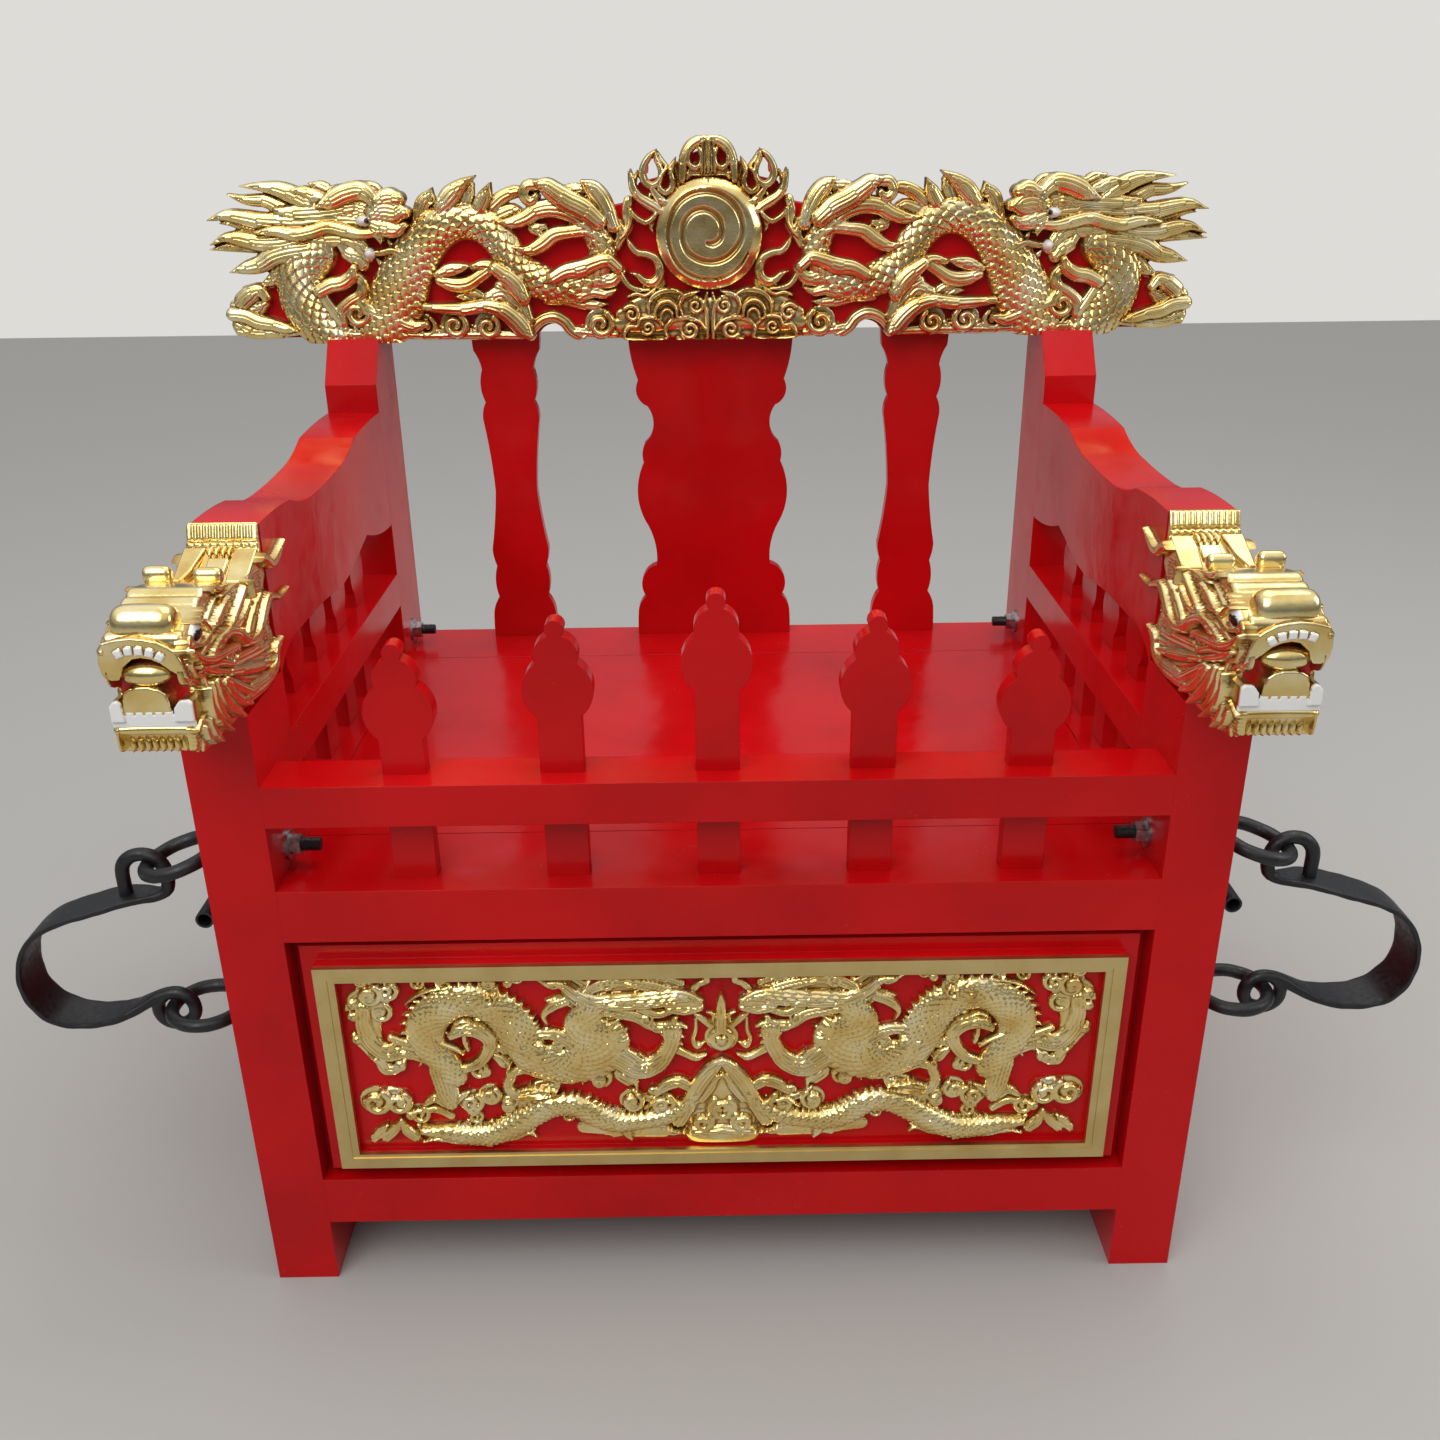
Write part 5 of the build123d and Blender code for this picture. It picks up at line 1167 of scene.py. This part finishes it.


# Dragon heads on the arms. The muzzle and crest are one profile rolled across the arm's thickness, the
# sides are relief in (y, z), and lip, tongue, teeth and jaw are relief in (x, z) on the sawn front faces.
# An edge is how round the muzzle's corners are, and a slope the y and z of a face's foot and top. A hollow
# hollowMm deep takes full painted shade, of which the muzzle shows at most hollowMost, and cushionRidge is
# how far a cushion's ridges stand out, as a part of its radius. The carving of a cheek stands groundMm proud;
# the outer one runs out to noseShare of its relief at noseY, over fadeMm. A cheek's grid step is sideMm
head = {"stepMm": 2.2, "columns": 48, "middle": 444.5, "ropeMm": 7.0, "ropeDeep": 1.1, "ropeSlant": 0.6,
        "mouthEdge": 0.5, "combEdge": 1.5, "browEdge": 4.6, "jawEdge": 2.5,
        "combFromY": 50.0, "browFromZ": 750.0, "hollowMm": 3.0, "hollowMost": 0.4, "cushionRidge": 0.035,
        "innerX": 418.0, "outerX": 469.5, "groundMm": 5.4, "noseShare": 0.25, "noseY": -60.0, "fadeMm": 80.0,
        "sideMm": {"inner": 1.05, "outer": 1.5}, "sideBack": -1.0, "sideArea": (-112, 166, 653, 790),
        "massLevel": (5.2, 1.2), "massGroove": (3.6, 1.3), "sideGroove": (4.2, 1.2), "eyeMm": 0.8,
        "eyeBack": 2.0, "eyeArea": (-104, -66, 746, 776), "frontMm": 0.8, "frontArea": (402, 486, 660, 772),
        "slopeArea": (408, 482, -4, 52), "slopeBack": -1.5, "slopeGroove": (3.0, 0.8),
        "plateSlope": ((52, 757), (94, 777.5)), "combSlope": ((98.6, 783.6), (104.5, 799)),
        "outline": [(-112, 769), (-96, 769), (-64, 777), (-49, 782), (-36, 785), (0, 775), (30, 766),
                    (52, 760), (94, 779), (96, 800)],
        # cushions: x, y, z of the middle, half length along x, radii in y and z
        "cushions": {"nose": (446.0, -86.0, 769.5, 26.0, 16.5, 17.5),
                     "ear": (465.5, -2.0, 783.5, 12.0, 7.0, 8.5),
                     "roll": (424.0, 0.0, 782.0, 12.0, 7.0, 7.5)}}

# y, z, half width, outward bulge of the run that follows, kind: 0 plain, 2 rope, 3 mouth lining
headProfile = [
    (105.6, 750, 31.5, 0, 0), (105.6, 798.5, 31.5, 0, 0), (104.5, 799, 31.5, 0, 0),
    (98.6, 783.6, 31.5, 0, 0), (99, 783, 32.5, 2.6, 2), (94.6, 778, 32.5, 0, 0), (94, 777.5, 34, -2.4, 0),
    (52, 757, 30.5, -1, 0), (30, 763, 31, 3.4, 0), (-36, 784.5, 31.5, 2.2, 0), (-49, 781, 31.5, 2.6, 0),
    (-64, 776.5, 31.5, 0.4, 0), (-96, 768, 31, 2, 0), (-104, 763, 31, 0, 0), (-104, 752, 31, 0, 3),
    (-92, 748, 31, 0, 3), (-90, 700, 31, 0, 3), (-102, 697, 31, 0, 0), (-103, 684, 31, 1, 0),
    (-94, 668, 30, 2, 0), (-70, 660, 29, 0, 0), (-0.4, 655, 30, 0, 0)]
sideMasses = [
    [(-96, 736, 14), (-70, 735, 28), (-40, 735, 38), (0, 728, 46), (40, 722, 50), (62, 722, 42)],
    [(-86, 690, 18), (-60, 692, 26), (-20, 685, 22), (20, 682, 22), (60, 685, 24), (84, 690, 20)],
    [(-90, 752, 14), (-60, 760, 16), (-20, 764, 16), (20, 758, 14), (50, 756, 14), (80, 752, 16)],
    [(-104, 682, 12), (-84, 682, 14)],
]
cheekPicks = [
    (3, [(200, 470, 20), (205, 380, 32), (195, 290, 34), (140, 255, 25), (85, 290, 26), (55, 240, 24),
        (28, 155, 4)]),
    (2, [(5, 425, 4), (50, 480, 14), (110, 490, 28), (130, 560, 32), (150, 640, 28), (190, 720, 25),
        (240, 740, 20)]),
    (3, [(165, 470, 18), (190, 540, 30), (210, 640, 45), (235, 710, 35), (300, 680, 25), (350, 680, 24),
        (400, 740, 32), (440, 790, 24)]),
    (3, [(350, 480, 14), (385, 540, 22), (410, 600, 26), (440, 640, 16)]),
    (2, [(485, 445, 10), (500, 500, 16), (515, 560, 16), (535, 600, 12)]),
    (2, [(535, 460, 10), (545, 510, 14), (556, 590, 12)]),
    (1, [(430, 480, 10), (455, 540, 14), (480, 600, 12)]),
    (2, [(450, 970, 16), (430, 1060, 26), (390, 1140, 22), (360, 1190, 6)]),
    (3, [(475, 1000, 14), (460, 1090, 24), (440, 1160, 18), (430, 1190, 8)]),
    (3, [(300, 760, 16), (380, 800, 24), (450, 830, 24), (520, 820, 20), (570, 780, 10)]),
    (2, [(330, 860, 16), (400, 850, 24), (470, 860, 22), (530, 840, 14)]),
    (2, [(350, 900, 14), (420, 900, 20), (480, 890, 18), (520, 870, 10)]),
    (1, [(540, 800, 14), (575, 850, 14), (550, 910, 12), (505, 925, 14), (488, 1000, 14), (490, 1100, 14),
        (525, 1190, 16), (545, 1230, 12)]),
    (2, [(250, 430, 16), (280, 520, 24), (310, 590, 22), (330, 620, 10)]),
    (2, [(230, 500, 12), (250, 560, 18), (300, 630, 18), (350, 650, 12)]),
    (2, [(350, 400, 10), (400, 430, 16), (450, 420, 14), (500, 430, 14)]),
    (2, [(235, 215, 12), (250, 290, 18), (290, 380, 20), (340, 440, 16), (400, 470, 8)]),
    (2, [(440, 640, 10), (470, 690, 14), (510, 740, 12), (560, 740, 8)]),
    (3, [(465, 655, 8), (495, 620, 10), (540, 608, 10), (585, 630, 8)]),
    (2, [(380, 700, 12), (430, 710, 18), (480, 760, 18), (520, 800, 12)]),
    (1, [(260, 700, 10), (300, 750, 14), (350, 790, 12)]),
]
fanPicks = [
    (2, [(45, 710, 5), (70, 780, 22), (75, 860, 22), (120, 940, 30), (190, 1000, 38), (250, 1050, 28)]),
    (1, [(330, 880, 16), (230, 850, 22), (140, 820, 18), (90, 790, 8)]),
    (2, [(335, 905, 16), (240, 890, 22), (150, 870, 20), (100, 850, 8)]),
    (1, [(345, 930, 18), (260, 940, 24), (170, 930, 20), (110, 905, 8)]),
    (2, [(360, 950, 18), (290, 990, 24), (210, 1020, 20), (170, 1010, 8)]),
    (2, [(375, 960, 16), (330, 1020, 22), (270, 1070, 20), (230, 1085, 8)]),
    (1, [(320, 850, 14), (230, 810, 20), (150, 770, 16), (110, 740, 8)]),
    (1, [(300, 820, 12), (220, 780, 14), (160, 735, 8)]),
    (2, [(420, 960, 16), (380, 1040, 24), (320, 1110, 20), (270, 1155, 6)]),
]
chinLines = [
    (2, [(-75, 690, 3.5), (-62, 674, 3.5), (-46, 661, 1.5)]),
    (2, [(-90, 690, 3), (-82, 676, 3.5), (-72, 663, 1.5)]),
    (2, [(-102, 688, 3), (-96, 678, 3.5), (-90, 669, 1.5)]),
]
# the plane of the cheek, x in mm, that each level was picked on, and how much wider the fan's bands are
# than picked
cheekX = {1: 410.5, 2: 407.5, 3: 404.5}
fanWider = 1.3
sideStrands = [(level, fromPhoto("cheek", line, 0, cheekX[level])) for level, line in cheekPicks]
sideStrands += [(level, fromPhoto("cheek", line, 0, cheekX[level], fanWider)) for level, line in fanPicks]
sideStrands += chinLines
cheekLevels = {1: (5.4, 3.8), 2: (7.6, 5.0), 3: (9.8, 6.4)}
cheekCurls = [(-22, 716, 9, 7.5, 3, 1.3), (-98, 757, 8, 8.5, 3, 1.0)]
eyeBeads = [(-85, 761, 15, 9.8, 7.0, 5.0, "white", 1.4), (-87, 761.2, 10.5, 4.3, 10.6, 2.4, "dark")]
# one upper tooth, and for each of the five the x and z of its middle and how many degrees it leans
toothShape = [(-3.2, -3.5), (-3.3, 2.6), (-2.1, 3.6), (2.0, 3.6), (3.3, 2.6), (3.2, -3.5)]
toothPlaces = [(430, 751.5, 33), (437.5, 755, 16), (445.5, 756.5, 3.5), (453.5, 756.5, -5),
               (461.5, 754.5, -20)]


def turned(shape, x, z, degrees):
    # the outline turned by degrees and moved to x, z
    c, s = math.cos(math.radians(degrees)), math.sin(math.radians(degrees))
    return [(x + u * c - w * s, z + u * s + w * c) for u, w in shape]


upperTeeth = [(turned(toothShape, *place), 9.9, 2.1, "white") for place in toothPlaces]
lipOutline = [(411, 732), (414, 746), (417, 754), (423, 759), (432, 764), (441, 766), (451, 767),
              (462, 766), (474, 763), (478.5, 757), (479, 745), (478, 737), (476.5, 734), (471.5, 731.5),
              (465, 732), (463, 735.5), (461, 742), (453, 749), (446, 750.5), (438, 749), (431, 745.5),
              (425, 740), (418, 735)]
tongueOutline = [(428, 700), (430, 714), (432, 720.5), (437, 724), (444, 726), (452, 726), (459, 725),
                 (464, 722), (466, 716), (469, 700)]
lipPlates = [(lipOutline, 8.0, 1.6, "gold")] + upperTeeth
tonguePlates = [(tongueOutline, 10.6, 1.6, "gold")]
tongueBeads = [(446, 734.5, 20, 10, 4.0, 10.0, "gold")]
fangs = ([(411.5, 697), (411, 713), (414.5, 716), (421.5, 715), (426, 709), (427.5, 697)],
         [(466, 697), (467, 712.5), (469, 715.5), (473.5, 715), (477, 710.5), (477, 697)])
fluteX = (426.6, 432.8, 438.8, 444.6, 450.4, 456.2, 462.2, 468.4)
jawLines = [(3.4, 3.6, "gold", [(x, 680.4, 0.7), (x - 0.3, 676, 2.3), (x - 0.6, 671.5, 2.3),
                                (x - 0.6, 668, 0.7)]) for x in fluteX]
jawLines += [(3, 3.4, "gold", [(421, 681, 1.6), (418.5, 675, 2.4), (417, 668, 1.6)]),
             (2.6, 3.4, "gold", [(415, 681, 1.8), (413, 674, 2.6), (413, 668, 1.6)]),
             (8.6, 4.6, "gold", [(414, 689, 4.4), (430, 689.3, 4.6), (460, 689.2, 4.6), (474.5, 688.8, 4.4)])]
jawBars = [(411, 476, 667, 682, 1.4, 1.4, "gold")]
teethLines = [(7.6, 2.4, "white", [(429, 700, 2.2), (445, 699.4, 2.4), (464, 700, 2.2)])]
lowerTeethX = ((459, 465.4), (451.4, 458), (443.8, 450.4), (436.2, 442.8), (428.4, 435.2))
teethBars = [(411.5, 477.5, 691.6, 703, 9.6, 3, "white")]
teethBars += [(x0, x1, 700, 705.6, 9.8, 2.8, "white") for x0, x1 in lowerTeethX]
teethPlates = [(fang, 11.0, 4, "white") for fang in fangs]
plateLines = [(1.6, 2.4, "gold", [(x, 46, 1.6), (x + 1.5, 41, 2.2), (x + 0.5, 36, 1.2)])
              for x in (434.5, 440, 446, 452)]
platePlates = [([(411.5, 45), (431, 45), (433, 30), (431, 2), (412, 2)], 0.9, 1.6, "gold"),
               ([(457, 45), (477, 45), (477.5, 2), (471, 2), (463, 18)], 1.9, 2.2, "gold"),
               ([(435, 34), (453.5, 34), (453, 17), (435, 17)], 0.2, 1.2, "gold")]
combX = [418.5 + 5.2 * i for i in range(11)]
combBars = [(412.5, 476.5, 0.6, 15.8, 0.3, 0.9)]
combLines = [(0.6, 1.6, "gold", [(x, 3, 2.0), (x, 8, 2.2), (x, 13.6, 2.0)]) for x in combX]


def blurredLine(values):
    # the average of each value and its six neighbours on either side
    reach = 6
    weights = np.ones(2 * reach + 1) / (2 * reach + 1)
    return np.convolve(np.pad(values, reach, mode="edge"), weights, mode="valid")


def rolledProfile(v):
    # P(s, t) = (middle + half width t, profile(s) - edge(t) n(s)), edge a quarter round at both ends
    runs = []
    for start, end in zip(headProfile, headProfile[1:]):
        length = math.hypot(end[0] - start[0], end[1] - start[1])
        count = max(1, int(math.ceil(length / v["stepMm"])))
        t = np.arange(count)[:, None] / count
        along = np.array(start[:3]) + (np.array(end[:3]) - np.array(start[:3])) * t
        out = np.array((end[1] - start[1], start[0] - end[0])) / length
        along[:, :2] += out * start[3] * 4 * t * (1 - t)
        kind = np.full((count, 1), start[4])
        runs.append(np.concatenate([along, kind, t, np.tile(out, (count, 1))], axis=1))
    runs.append([[*headProfile[-1][:3], 0, 0, 0, -1]])
    y, z, half, kind, t, outY, outZ = np.concatenate(runs).T[:, :, None]
    q = np.linspace(-1, 1, v["columns"])[None, :]
    q = np.sign(q) * (1 - (1 - np.abs(q)) ** 1.5)
    x = v["middle"] + half * q
    outY, outZ = (blurredLine(out[:, 0])[:, None] for out in (outY, outZ))
    edge = np.select([kind == 3, y > v["combFromY"], z > v["browFromZ"]],
                     [v["mouthEdge"], v["combEdge"], v["browEdge"]], v["jawEdge"])
    inset = edge * (1 - np.sqrt(1 - np.clip((np.abs(q) * half - half + edge) / edge, 0, 1) ** 2))
    rope = v["ropeDeep"] * np.cos(2 * np.pi * (x / v["ropeMm"] + t * v["ropeSlant"]))
    inset = inset - np.where(kind == 2, rope, 0)
    return x, y - outY * inset, z - outZ * inset, kind + 0 * q


def headMuzzle(name, side, replaced):
    # the rolled profile as quads, its two cheeks filled, and its first and last rows joined behind
    x, y, z, kind = rolledProfile(head)
    rows, columns = x.shape
    points = toFrame(side * x, y, z).reshape(-1, 3)
    number = np.arange(rows * columns).reshape(rows, columns)
    corners = [number[:-1, :-1], number[1:, :-1], number[1:, 1:], number[:-1, 1:]]
    faces = np.stack(corners if side < 0 else corners[::-1], axis=-1).reshape(-1, 4).tolist()
    for column in (0, columns - 1):
        ring = number[:, column]
        flat = np.stack([y[:, column], z[:, column]], axis=1)
        links = np.stack([np.arange(rows), np.roll(np.arange(rows), -1)], axis=1)
        outward = (column == 0) == (side > 0)
        for face in backFaces(flat, links)[0]:
            if max(face) < rows:
                faces.append([int(ring[corner]) for corner in (face if outward else face[::-1])])
    ends = (number[0], number[-1][::-1]) if side > 0 else (number[0][::-1], number[-1])
    faces.append(np.concatenate(ends).tolist())
    mesh = bpy.data.meshes.new(name)
    mesh.from_pydata(points.tolist(), [], faces)
    # painted shade on the muzzle: rows lying behind the profile smoothed along its length darken by how far
    # behind they lie, the same across the whole width
    middleY, middleZ = y[:, columns // 2], z[:, columns // 2]
    smoothY, smoothZ = blurredLine(middleY), blurredLine(middleZ)
    hollow = (middleZ < smoothZ) | (middleY > smoothY)
    depth = np.hypot(middleY - smoothY, middleZ - smoothZ) / head["hollowMm"]
    depth = np.clip(depth, 0, head["hollowMost"])
    cavityShade = np.repeat(np.where(hollow, depth, 0), columns)
    for key, values in (("cavityShade", cavityShade), ("red", (kind == 3).ravel())):
        mesh.attributes.new(key, "FLOAT", "POINT").data.foreach_set("value", values.astype(np.float32))
    mesh.validate()
    finishPiece(name, mesh, replaced)


def tubeFaces(rows, columns, closed=False):
    # quads of a grid whose columns run round, and its rows too where it is closed, and the caps of its open
    # ends
    number = np.arange(rows * columns).reshape(rows, columns)
    after = np.roll(number, -1, axis=1)
    quads = np.stack([number, after, np.roll(after, -1, axis=0), np.roll(number, -1, axis=0)], axis=-1)
    if closed:
        return quads.reshape(-1, 4), []
    return quads[:-1].reshape(-1, 4), [number[0][::-1].tolist(), number[-1].tolist()]


def headCushion(name, side, v):
    # P(a, t) = centre + (half t, ry c cos a, rz c sin a), c = (1 - |t|^5)^(1 / 3), a cushion with full ends
    # and three low ridges
    x0, y0, z0, half, ry, rz = v
    a = np.linspace(0, 2 * np.pi, 49)[None, :-1]
    t = np.sin(np.linspace(-0.5, 0.5, 40) * np.pi)[1:-1, None]
    c = (1 - np.abs(t) ** 5) ** (1 / 3)
    ridge = 1 + head["cushionRidge"] * np.cos(3 * a)
    y, z = y0 + ry * c * ridge * np.cos(a), z0 + rz * c * ridge * np.sin(a)
    points = toFrame(side * (x0 + half * t + 0 * a), y, z)
    quads, caps = tubeFaces(*points.shape[:2])
    faces = quads.tolist() + caps
    if side > 0:
        faces = [face[::-1] for face in faces]
    mesh = bpy.data.meshes.new(name)
    mesh.from_pydata(points.reshape(-1, 3).tolist(), [], faces)
    mesh.validate()
    finishPiece(name, mesh)


def headSideField(v, stepMm):
    # the carving of one cheek in (y, z)
    field = newField(*v["sideArea"], stepMm)
    for line in sideMasses:
        strand(field, line, *v["massLevel"], *v["massGroove"])
    for level, line in sideStrands:
        strand(field, line, *cheekLevels[level], *v["sideGroove"])
    for place in cheekCurls:
        curl(field, *place)
    # the carving stops at the outline of the head, given as y, z
    places = np.array(v["outline"])
    limit = np.interp(field["u"], places[:, 0], places[:, 1])[:, None] - field["v"][None, :]
    field["edge"] = np.minimum(field["edge"], limit)
    return field


def placeSlope(side, slope):
    # P(u, v, h) = foot + v along the slope + h square to it
    foot, top = slope
    run = math.hypot(top[0] - foot[0], top[1] - foot[1])
    alongY, alongZ = (top[0] - foot[0]) / run, (top[1] - foot[1]) / run

    def onSlope(u, v, h):
        return toFrame(side * u, foot[0] + v * alongY - h * alongZ, foot[1] + v * alongZ + h * alongY)
    return onSlope


def placeSide(side, where):
    # P(u, v, h) = (side (innerX - h), u, v) on the inner cheek; on the outer one x is outerX + ground +
    # share (h - ground), share running from noseShare at the nose to 1
    v = head
    if where == "inner":
        return lambda y, z, h: toFrame(side * (v["innerX"] - h), y, z)

    def outerCheek(y, z, h):
        share = v["noseShare"] + (1 - v["noseShare"]) * np.clip((y - v["noseY"]) / v["fadeMm"], 0, 1)
        return toFrame(side * (v["outerX"] + v["groundMm"] + (h - v["groundMm"]) * share), y, z)
    return outerCheek


def frontForms(**forms):
    # the grid of one piece of the mouth, seen from the front
    return formsField(head["frontArea"], head["frontMm"], **forms)


cheekFields = {where: headSideField(head, stepMm) for where, stepMm in head["sideMm"].items()}
eyeField = formsField(head["eyeArea"], head["eyeMm"], beads=eyeBeads)
plateField = formsField(head["slopeArea"], head["frontMm"], plateLines, plates=platePlates,
                        groove=head["slopeGroove"])
combField = formsField(head["slopeArea"], head["frontMm"], combLines, bars=combBars,
                       groove=head["slopeGroove"])
# name, grid, y of the plane it stands on, depth of its back, slot, and the node it stands for
mouthPieces = (("Lip", frontForms(plates=lipPlates), -100, -6, "gold_leaf", ""),
               ("Jaw", frontForms(lines=jawLines, bars=jawBars), -97, -6, "gold_leaf", ""),
               ("Tongue", frontForms(beads=tongueBeads, plates=tonguePlates), -97, -14, "gold_leaf",
                "dragon_tongue_"),
               ("Teeth", frontForms(lines=teethLines, bars=teethBars, plates=teethPlates), -97, -10,
                "ivory_white", "dragon_teeth_"))
for side, word in sides:
    headMuzzle("dragonMuzzle." + word, side, ("dragon_head_" + word,))
    for part, cushion in head["cushions"].items():
        headCushion("dragon" + part.capitalize() + "." + word, side, cushion)
    for part, field, slope in (("Plate", plateField, "plateSlope"), ("Comb", combField, "combSlope")):
        reliefPiece("dragon" + part + "." + word, field, placeSlope(side, head[slope]), side < 0,
                    head["slopeBack"])
    for where, cheekField in cheekFields.items():
        tag = word + "." + where
        flip = (side > 0) == (where == "inner")
        reliefPiece("dragonMane." + tag, cheekField, placeSide(side, where), flip, head["sideBack"])
        reliefPiece("dragonEye." + tag, eyeField, placeSide(side, where), flip, head["eyeBack"],
                    ("dragon_eyes_" + word,))
    for part, field, y, back, slotName, node in mouthPieces:
        reliefPiece("dragon" + part + "." + word, field, placeFront(side, y), side < 0, back,
                    (node + word,) if node else ())
print("arm heads carved")


# Forged irons: eye bolts through the legs, and strap stirrups whose band is drawn out into a round bar at
# both ends. eyeMiddle is how far an eye's middle stands out from the leg, droop how many degrees the upper
# eyes hang, hammerMm the height of the hammer's dents, and flatten how fast a section goes from round to
# square as it is beaten flat
irons = {"barSides": 20, "ringSteps": 64, "legFace": 475.0, "eyeMiddle": 43.5, "eyeR": 35.0, "eyeBar": 6.8,
         "boltEnd": 381.0, "threadEnd": 413.0, "shankEnd": 481.0, "tipR": 4.6, "threadPitch": 1.9,
         "threadDeep": 0.75, "stepMm": 3.4, "hammerMm": 0.1, "flatten": 0.7,
         "boltY": {"front": 55.0, "rear": 659.0},
         # x, z, radius, first angle, angle between places and their number
         "hook": (555.8, 466.1, 21.3, 0, 30, 7), "footEye": (551.0, 309.4, 18.6, 99, 29, 12),
         "boltZ": {"upper": 496.0, "lower": 312.0}, "droop": {"upper": 15.0, "lower": 0.0}}


def arcLine(x, z, radius, start, step, count, half, thick):
    # places on an arc every step degrees, to a tenth of a millimetre, with the bar's half width and half
    # thickness
    turns = [math.radians(start + step * i) for i in range(count)]
    return [(round(x + radius * math.cos(turn), 1), round(z + radius * math.sin(turn), 1), half, thick)
            for turn in turns]


# x, z, half width, half thickness of the stirrup, from the hook's free end round the pole to the foot eye
strapLine = [(577.1, 443.5, 6.7, 6.7), (577.1, 455, 6.7, 6.7)]
strapLine += arcLine(*irons["hook"], 6.7, 6.7)
strapLine += [
    (534.6, 455, 6.7, 6.5), (537, 447.4, 7.4, 6), (545, 443.2, 9.5, 5), (557, 442.6, 13.5, 4.1),
    (571, 441.8, 18.5, 3.5), (588, 438.4, 22.6, 3.1), (611, 431.8, 24, 3), (630, 426, 24, 3),
    (648, 419, 24, 3), (665, 409, 24, 3), (678, 395.5, 24, 3), (687, 376, 24, 3), (689.8, 355, 24, 3),
    (687.2, 336, 24, 3), (678.4, 320, 24, 3), (667, 310, 23.6, 3), (653, 304.6, 22.8, 3.1),
    (637, 302.4, 21.4, 3.3), (621, 303.2, 19.4, 3.6), (606, 306, 16.6, 4.1), (592, 311, 13.2, 4.8),
    (580, 317, 10, 5.5), (569.5, 322.6, 7.8, 6.2), (557.4, 326.9, 6.7, 6.5)]
strapLine += arcLine(*irons["footEye"], 6.7, 6.5)


def sweep(name, path, side, across, thick, closed=False, body="chair", replaced=()):
    # P(s, a) = path(s) + across S c(a) + thick N s(a); c and s are cos and sin drawn out to a rounded
    # rectangle as the section gets flatter, S the side direction and N = T x S
    path = np.asarray(path, float)
    count = len(path)
    ahead = np.roll(path, -1, axis=0) - np.roll(path, 1, axis=0) if closed else np.gradient(path, axis=0)
    ahead /= np.linalg.norm(ahead, axis=1)[:, None]
    normal = np.cross(ahead, side)
    a = np.linspace(0, 2 * np.pi, irons["barSides"] + 1)[None, :-1]
    across, thick = (half if np.ndim(half) == 2 else np.reshape(half, (-1, 1)) for half in (across, thick))
    across, thick = (np.broadcast_to(half, (count, a.size)) for half in (across, thick))
    power = np.clip(across / np.maximum(thick, 0.1), 1, 4) ** -irons["flatten"]
    s = np.arange(count)[:, None]
    dent = 1 + irons["hammerMm"] / 6 * (np.sin(s * 0.9 + 3 * a) + np.sin(s * 0.37 - 2 * a + 1))
    u = across * dent * np.sign(np.cos(a)) * np.abs(np.cos(a)) ** power
    v = thick * dent * np.sign(np.sin(a)) * np.abs(np.sin(a)) ** power
    points = path[:, None, :] + u[:, :, None] * np.asarray(side, float) + v[:, :, None] * normal[:, None, :]
    flat = toFrame(points[..., 0], points[..., 1], points[..., 2]).reshape(-1, 3)
    quads, caps = tubeFaces(count, a.size, closed)
    # where the sweep comes out inside out its volume is negative
    middle = flat - flat.mean(axis=0)
    volume = np.einsum("ij,ij->", middle[quads[:, 0]], np.cross(middle[quads[:, 1]], middle[quads[:, 2]]))
    faces = quads.tolist() + caps
    if volume < 0:
        faces = [face[::-1] for face in faces]
    mesh = bpy.data.meshes.new(name)
    mesh.from_pydata(flat.tolist(), [], faces)
    mesh.validate()
    finishPiece(name, mesh, replaced, body, "black_iron", 40)


def eyeRing(name, side, y, z, droop, replaced):
    # ring of radius eyeR about a point eyeMiddle out from the leg, its plane drooping about the leg face
    a = np.arange(irons["ringSteps"]) / irons["ringSteps"] * 2 * np.pi
    out = irons["eyeMiddle"] + irons["eyeR"] * np.cos(a)
    tilt = math.radians(droop)
    path = np.stack([side * (irons["legFace"] + out * math.cos(tilt)), y + irons["eyeR"] * np.sin(a),
                     z - out * math.sin(tilt)], axis=1)
    sweep(name, path, (side * math.sin(tilt), 0, math.cos(tilt)), irons["eyeBar"], irons["eyeBar"], True,
          replaced=replaced)


def threadedShank(name, side, y, z):
    # radius r - deep |2 frac(x / pitch - a / 2 pi) - 1| over the thread, plain r beyond it, and a narrower
    # tip
    v = irons
    threaded = np.arange(v["boltEnd"], v["threadEnd"], v["threadPitch"] / 4)
    x = np.concatenate([threaded, [v["threadEnd"] + 1, v["shankEnd"]]])
    a = np.linspace(0, 2 * np.pi, v["barSides"] + 1)[None, :-1]
    turn = np.mod(x[:, None] / v["threadPitch"] - a / (2 * np.pi), 1.0)
    radius = v["eyeBar"] - v["threadDeep"] * np.abs(2 * turn - 1) * (x[:, None] < v["threadEnd"])
    radius[0] = v["tipR"]
    path = np.stack([side * x, y + 0 * x, z + 0 * x], axis=1)
    sweep(name, path, (0, 1, 0), radius, radius)


def stirrup(name, side, y, body, replaced):
    # path(s) = (side x(s), y, z(s)) along the smoothed strap, its width running along y
    curve = smoothLine(strapLine, irons["stepMm"])
    path = np.stack([side * curve[:, 0], y + 0 * curve[:, 0], curve[:, 1]], axis=1)
    sweep(name, path, (0, 1, 0), curve[:, 2], curve[:, 3], body=body, replaced=replaced)


for end, y in irons["boltY"].items():
    for side, word in sides:
        tag = end + "_" + word
        stirrup("stirrup." + tag, side, y, "strap_" + tag + "_body", ("strap_" + tag,))
        for level, z in irons["boltZ"].items():
            eyeRing("eye." + tag + "." + level, side, y, z, irons["droop"][level], ("eye_bolts_" + tag,))
            threadedShank("shank." + tag + "." + level, side, y, z)
print("irons forged")
